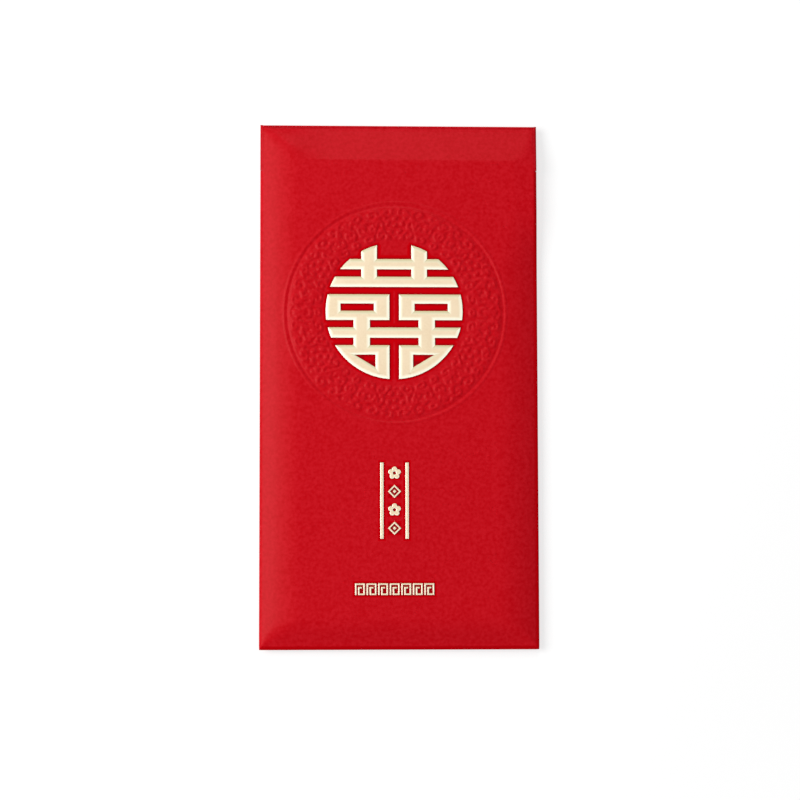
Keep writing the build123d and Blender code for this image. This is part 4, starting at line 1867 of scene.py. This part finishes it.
@dataclass
class SmallStampings:
    """Two rules with a column of blossoms and lozenges between them, and a band of key frets below."""

    layout: Layout
    rule_length: float = 24.5 * MM
    rule_width: float = 1.1 * MM
    rule_spread: float = 8.1 * MM
    ornament_pitch: float = 5.9 * MM
    # Places of the blossoms and of the lozenges along the column, as shares of the pitch
    blossom_shares: tuple[float, ...] = (1.5, -0.5)
    lozenge_shares: tuple[float, ...] = (0.5, -1.5)
    petal_count: int = 5
    petal_radius: float = 0.85 * MM
    petal_circle: float = 1.25 * MM
    petal_points: int = 12
    eye_radius: float = 0.5 * MM
    eye_points: int = 24
    lozenge_side: float = 3.1 * MM
    lozenge_line: float = 0.55 * MM
    lozenge_heart: float = 0.9 * MM
    trim: float = 0.04 * MM
    wide_bevel: float = 0.3 * MM
    fine_bevel: float = 0.18 * MM
    fret_count: int = 7
    fret_pitch: float = 3.7 * MM
    fret_width: float = 3.2 * MM
    fret_height: float = 3.8 * MM
    # Corners of one key fret as shares of its width and height, going round to the left
    fret_shares: tuple[Corner, ...] = (
        (0.0, 0.0), (0.17, 0.0), (0.17, 0.85), (0.83, 0.85), (0.83, 0.15), (0.47, 0.15), (0.47, 0.55),
        (0.7, 0.55), (0.7, 0.7), (0.3, 0.7), (0.3, 0.0), (1.0, 0.0), (1.0, 1.0), (0.0, 1.0),
    )

    @staticmethod
    def recipe(values: dict[str, object]) -> Recipe:
        """Build the tree that sets copies of one stamping along a line.

        Args:
            values: the tree's inputs by name.

        Returns:
            The tree.
        """
        made = Recipe("stamped_row", values)
        line = made.value("GeometryNodeMeshLine", {"mode": "OFFSET"}, {
            "Count": made.input("Count"),
            "Start Location": made.input("Start"),
            "Offset": made.input("Pitch"),
        })
        info = made.add("GeometryNodeObjectInfo", None, {"Object": made.input("Stamping")})
        sockets = {"Points": line, "Instance": Signal(made, info.outputs["Geometry"])}
        made.end(made.value("GeometryNodeInstanceOnPoints", None, sockets))
        return made

    def blossom(self) -> list[Outline]:
        """Draw one blossom: five round petals and an open eye.

        Returns:
            Its outlines.
        """
        turn = math.tau / self.petal_count
        outer = []
        for angle in np.arange(self.petal_points * self.petal_count) * turn / self.petal_points:
            off = (angle + turn / 2) % turn - turn / 2
            across = self.petal_circle * math.sin(off)
            beyond = math.sqrt(max(0.0, self.petal_radius**2 - across**2))
            reach = self.petal_circle * math.cos(off) + beyond
            outer.append((reach * math.cos(angle + math.pi / 2), reach * math.sin(angle + math.pi / 2)))
        angles = np.linspace(0, -math.tau, self.eye_points, endpoint=False)
        eye = [(self.eye_radius * math.cos(angle), self.eye_radius * math.sin(angle)) for angle in angles]
        return [Outline(tuple(outer)), Outline(tuple(eye))]

    def lozenge(self) -> list[Outline]:
        """Draw one lozenge: a frame and a heart.

        Returns:
            Its outlines.
        """
        sides = (self.lozenge_side, self.lozenge_side - 2 * self.lozenge_line, self.lozenge_heart)
        outlines = []
        for side, turn in zip(sides, (1, -1, 1)):
            reach = side / math.sqrt(2)
            outlines.append(Outline(((reach, 0.0), (0.0, turn * reach), (-reach, 0.0), (0.0, -turn * reach))))
        return outlines

    def boxes(self) -> tuple[Box, ...]:
        """Find boxes that the foil covers.

        Returns:
            The boxes right of the middle line.
        """
        at, half, rule = self.layout, self.lozenge_side / 2, self.rule_length / 2
        inner = (self.rule_spread - self.rule_width) / 2
        band = (self.fret_pitch * (self.fret_count - 1) + self.fret_width) / 2
        places = sorted(self.blossom_shares + self.lozenge_shares)
        middles = [at.column_y + share * self.ornament_pitch for share in places]
        boxes = [(0.0, half, y - half, y + half) for y in middles]
        boxes.append((inner, inner + self.rule_width, at.column_y - rule, at.column_y + rule))
        boxes.append((0.0, band, at.fret_y - self.fret_height / 2, at.fret_y + self.fret_height / 2))
        return tuple(boxes)

    def build(self, material: bpy.types.Material) -> None:
        """Make the four rows of stampings and seat them.

        Args:
            material: the foil's finish.
        """
        at, pitch = self.layout, self.ornament_pitch
        half_x, half_y = self.rule_width / 2, self.rule_length / 2
        rule = Outline(((-half_x, -half_y), (half_x, -half_y), (half_x, half_y), (-half_x, half_y)))
        corners = [((x - 0.5) * self.fret_width, (y - 0.5) * self.fret_height) for x, y in self.fret_shares]
        blossoms = [at.column_y + share * pitch for share in self.blossom_shares]
        lozenges = [at.column_y + share * pitch for share in self.lozenge_shares]
        frets = [(place - (self.fret_count - 1) / 2) * self.fret_pitch for place in range(self.fret_count)]
        rules = [-self.rule_spread / 2, self.rule_spread / 2]
        wide, fine = self.wide_bevel, self.fine_bevel
        rows = (
            ("column_rules", "column_rules_foil", [rule], [(x, at.column_y) for x in rules], wide),
            ("blossom_stampings", "blossom_foil", self.blossom(), [(0.0, y) for y in blossoms], wide),
            ("lozenge_stampings", "lozenge_foil", self.lozenge(), [(0.0, y) for y in lozenges], fine),
            ("fret_stampings", "fret_foil", [Outline(tuple(corners))], [(x, at.fret_y) for x in frets], fine),
        )
        tree = None
        for name, node, outlines, places, bevel in rows:
            stamping = Stamping(bevel_width=bevel, trim=self.trim)
            single = stamping.build("single", outlines, material)
            piece = put_in_scene(name, bpy.data.meshes.new(name))
            (x, y), (next_x, next_y) = places[:2]
            values = {
                "Stamping": single,
                "Count": len(places),
                "Start": (at.print_x + x, y, at.front_z - stamping.sink),
                "Pitch": (next_x - x, next_y - y, 0.0),
                "Material": material,
            }
            tree = tree or self.recipe(values)
            tree.apply(piece, values)
            bpy.data.objects.remove(single)
            settle(piece, Body.PACKET, [node])


@dataclass(frozen=True)
class SeamGlue:
    """The two glue films, which keep their solids."""

    nodes: tuple[str, ...] = ("side_seam_glue", "bottom_seam_glue")

    def dress(self, material: bpy.types.Material) -> None:
        """Give both films their finish.

        Args:
            material: the glue's finish.
        """
        for node in self.nodes:
            film = frame["nodes"][node]
            film.data.materials.clear()
            film.data.materials.append(material)
            LOG.info("%s keeps its solid", node)


@dataclass(frozen=True)
class SoftBox:
    """A square studio lamp aimed at the packet."""

    name: str
    tilt: float
    bearing: float
    distance: float
    size: float
    radiance: float

    def build(self) -> None:
        """Hang the lamp: tilt is measured from straight above, bearing from +X towards +Y, in degrees."""
        tilt, bearing = math.radians(self.tilt), math.radians(self.bearing)
        lamp = bpy.data.lights.new(self.name, "AREA")
        lamp.shape = "SQUARE"
        lamp.size = self.size
        lamp.energy = self.radiance * math.pi * self.size**2
        hung = put_in_scene(self.name, lamp)
        hung.location = (
            self.distance * math.sin(tilt) * math.cos(bearing),
            self.distance * math.sin(tilt) * math.sin(bearing),
            self.distance * math.cos(tilt),
        )
        hung.rotation_euler = (-hung.location).to_track_quat("-Z", "Y").to_euler()


@dataclass(frozen=True)
class Studio:
    """White floor, soft lamps and the camera that took the photograph."""

    lens: float = 100.0
    clip_start: float = 10.0 * MM
    camera_place: tuple[float, float, float] = (-30.89 * MM, -62.91 * MM, 718.79 * MM)
    camera_turn: tuple[float, float, float] = (4.652, -2.487, -0.116)
    floor_reach: float = 3.0
    floor_white: Colour = (0.97, 0.97, 0.97, 1.0)
    floor_glow: float = 0.63
    glow_near: float = 0.12
    glow_far: float = 0.4
    glow_strength: float = 1.08
    room_white: Colour = (1.0, 1.0, 1.0, 1.0)
    ambient: float = 0.32
    mirrored: float = 0.8
    boxes: tuple[SoftBox, ...] = (
        SoftBox("key", tilt=42.0, bearing=175.0, distance=0.88, size=0.52, radiance=8.0),
        SoftBox("top", tilt=41.0, bearing=90.0, distance=1.2, size=0.3, radiance=8.0),
    )

    def build(self) -> None:
        """Make the floor, the lamps, the surroundings and the camera."""
        self.floor()
        for box in self.boxes:
            box.build()
        self.surroundings()
        camera = bpy.data.cameras.new("camera")
        camera.lens = self.lens
        camera.clip_start = self.clip_start
        seat = put_in_scene("camera", camera)
        seat.location = self.camera_place
        seat.rotation_euler = [math.radians(turn) for turn in self.camera_turn]
        bpy.context.scene.camera = seat
        bpy.context.scene.view_settings.view_transform = "Standard"

    def floor(self) -> None:
        """Lay the floor, which shows white and keeps the packet's shadow."""
        reach = self.floor_reach
        mesh = bpy.data.meshes.new("floor")
        corners = [(-reach, -reach, 0.0), (reach, -reach, 0.0), (reach, reach, 0.0), (-reach, reach, 0.0)]
        mesh.from_pydata(corners, [], [(0, 1, 2, 3)])
        made, board = new_material("floor")
        paper = board.value("ShaderNodeBsdfDiffuse", None, {"Color": self.floor_white})
        glow = board.value("ShaderNodeEmission", None, {"Strength": self.glow_strength})
        seen = board.value("ShaderNodeLightPath").sibling("Is Camera Ray")
        away = board.value("ShaderNodeVectorMath", {"operation": "LENGTH"}, {0: board.place()})
        share = away.smooth(self.glow_near, self.glow_far, self.floor_glow, 1.0)
        shown = board.value("ShaderNodeMixShader", None, {0: seen * share, 1: paper, 2: glow})
        board.add("ShaderNodeOutputMaterial", None, {"Surface": shown})
        mesh.materials.append(made)
        put_in_scene("floor", mesh)

    def surroundings(self) -> None:
        """Light the room evenly and show it white."""
        world = bpy.data.worlds.new("room")
        bpy.context.scene.world = world
        world.use_nodes = True
        board = NodeBoard(world.node_tree)
        seen = board.value("ShaderNodeLightPath").sibling("Is Camera Ray")
        shown = seen * (1 - self.ambient) + seen.sibling("Is Glossy Ray") * (self.mirrored - self.ambient)
        sockets = {"Color": self.room_white, "Strength": shown + self.ambient}
        light = board.value("ShaderNodeBackground", None, sockets)
        board.add("ShaderNodeOutputWorld", None, {"Surface": light})


def main() -> None:
    """Build the packet piece by piece, then the studio round it."""
    logging.basicConfig(level=logging.INFO, format="%(name)s: %(message)s")
    layout = Layout.read()
    margins = Margins()
    roundel, small = Roundel(layout), SmallStampings(layout)
    foil_shade = PressedGround(
        layout.print_x, layout.roundel_y, layout.roundel_radius,
        roundel.boxes(), roundel.holes(), small.boxes(),
    )
    card = CardFinish().material("red_card")
    foil = FoilFinish().material()
    FrontLeaf(layout, margins, PressedRing(layout)).build(CardFinish().material("red_card_front", foil_shade))
    BackLeaves(layout, margins).build(card)
    ClosingFlap(layout, margins).build(card)
    roundel.build(foil)
    small.build(foil)
    SeamGlue().dress(GlueFinish().material())
    Studio().build()


if __name__ == "__main__":
    main()
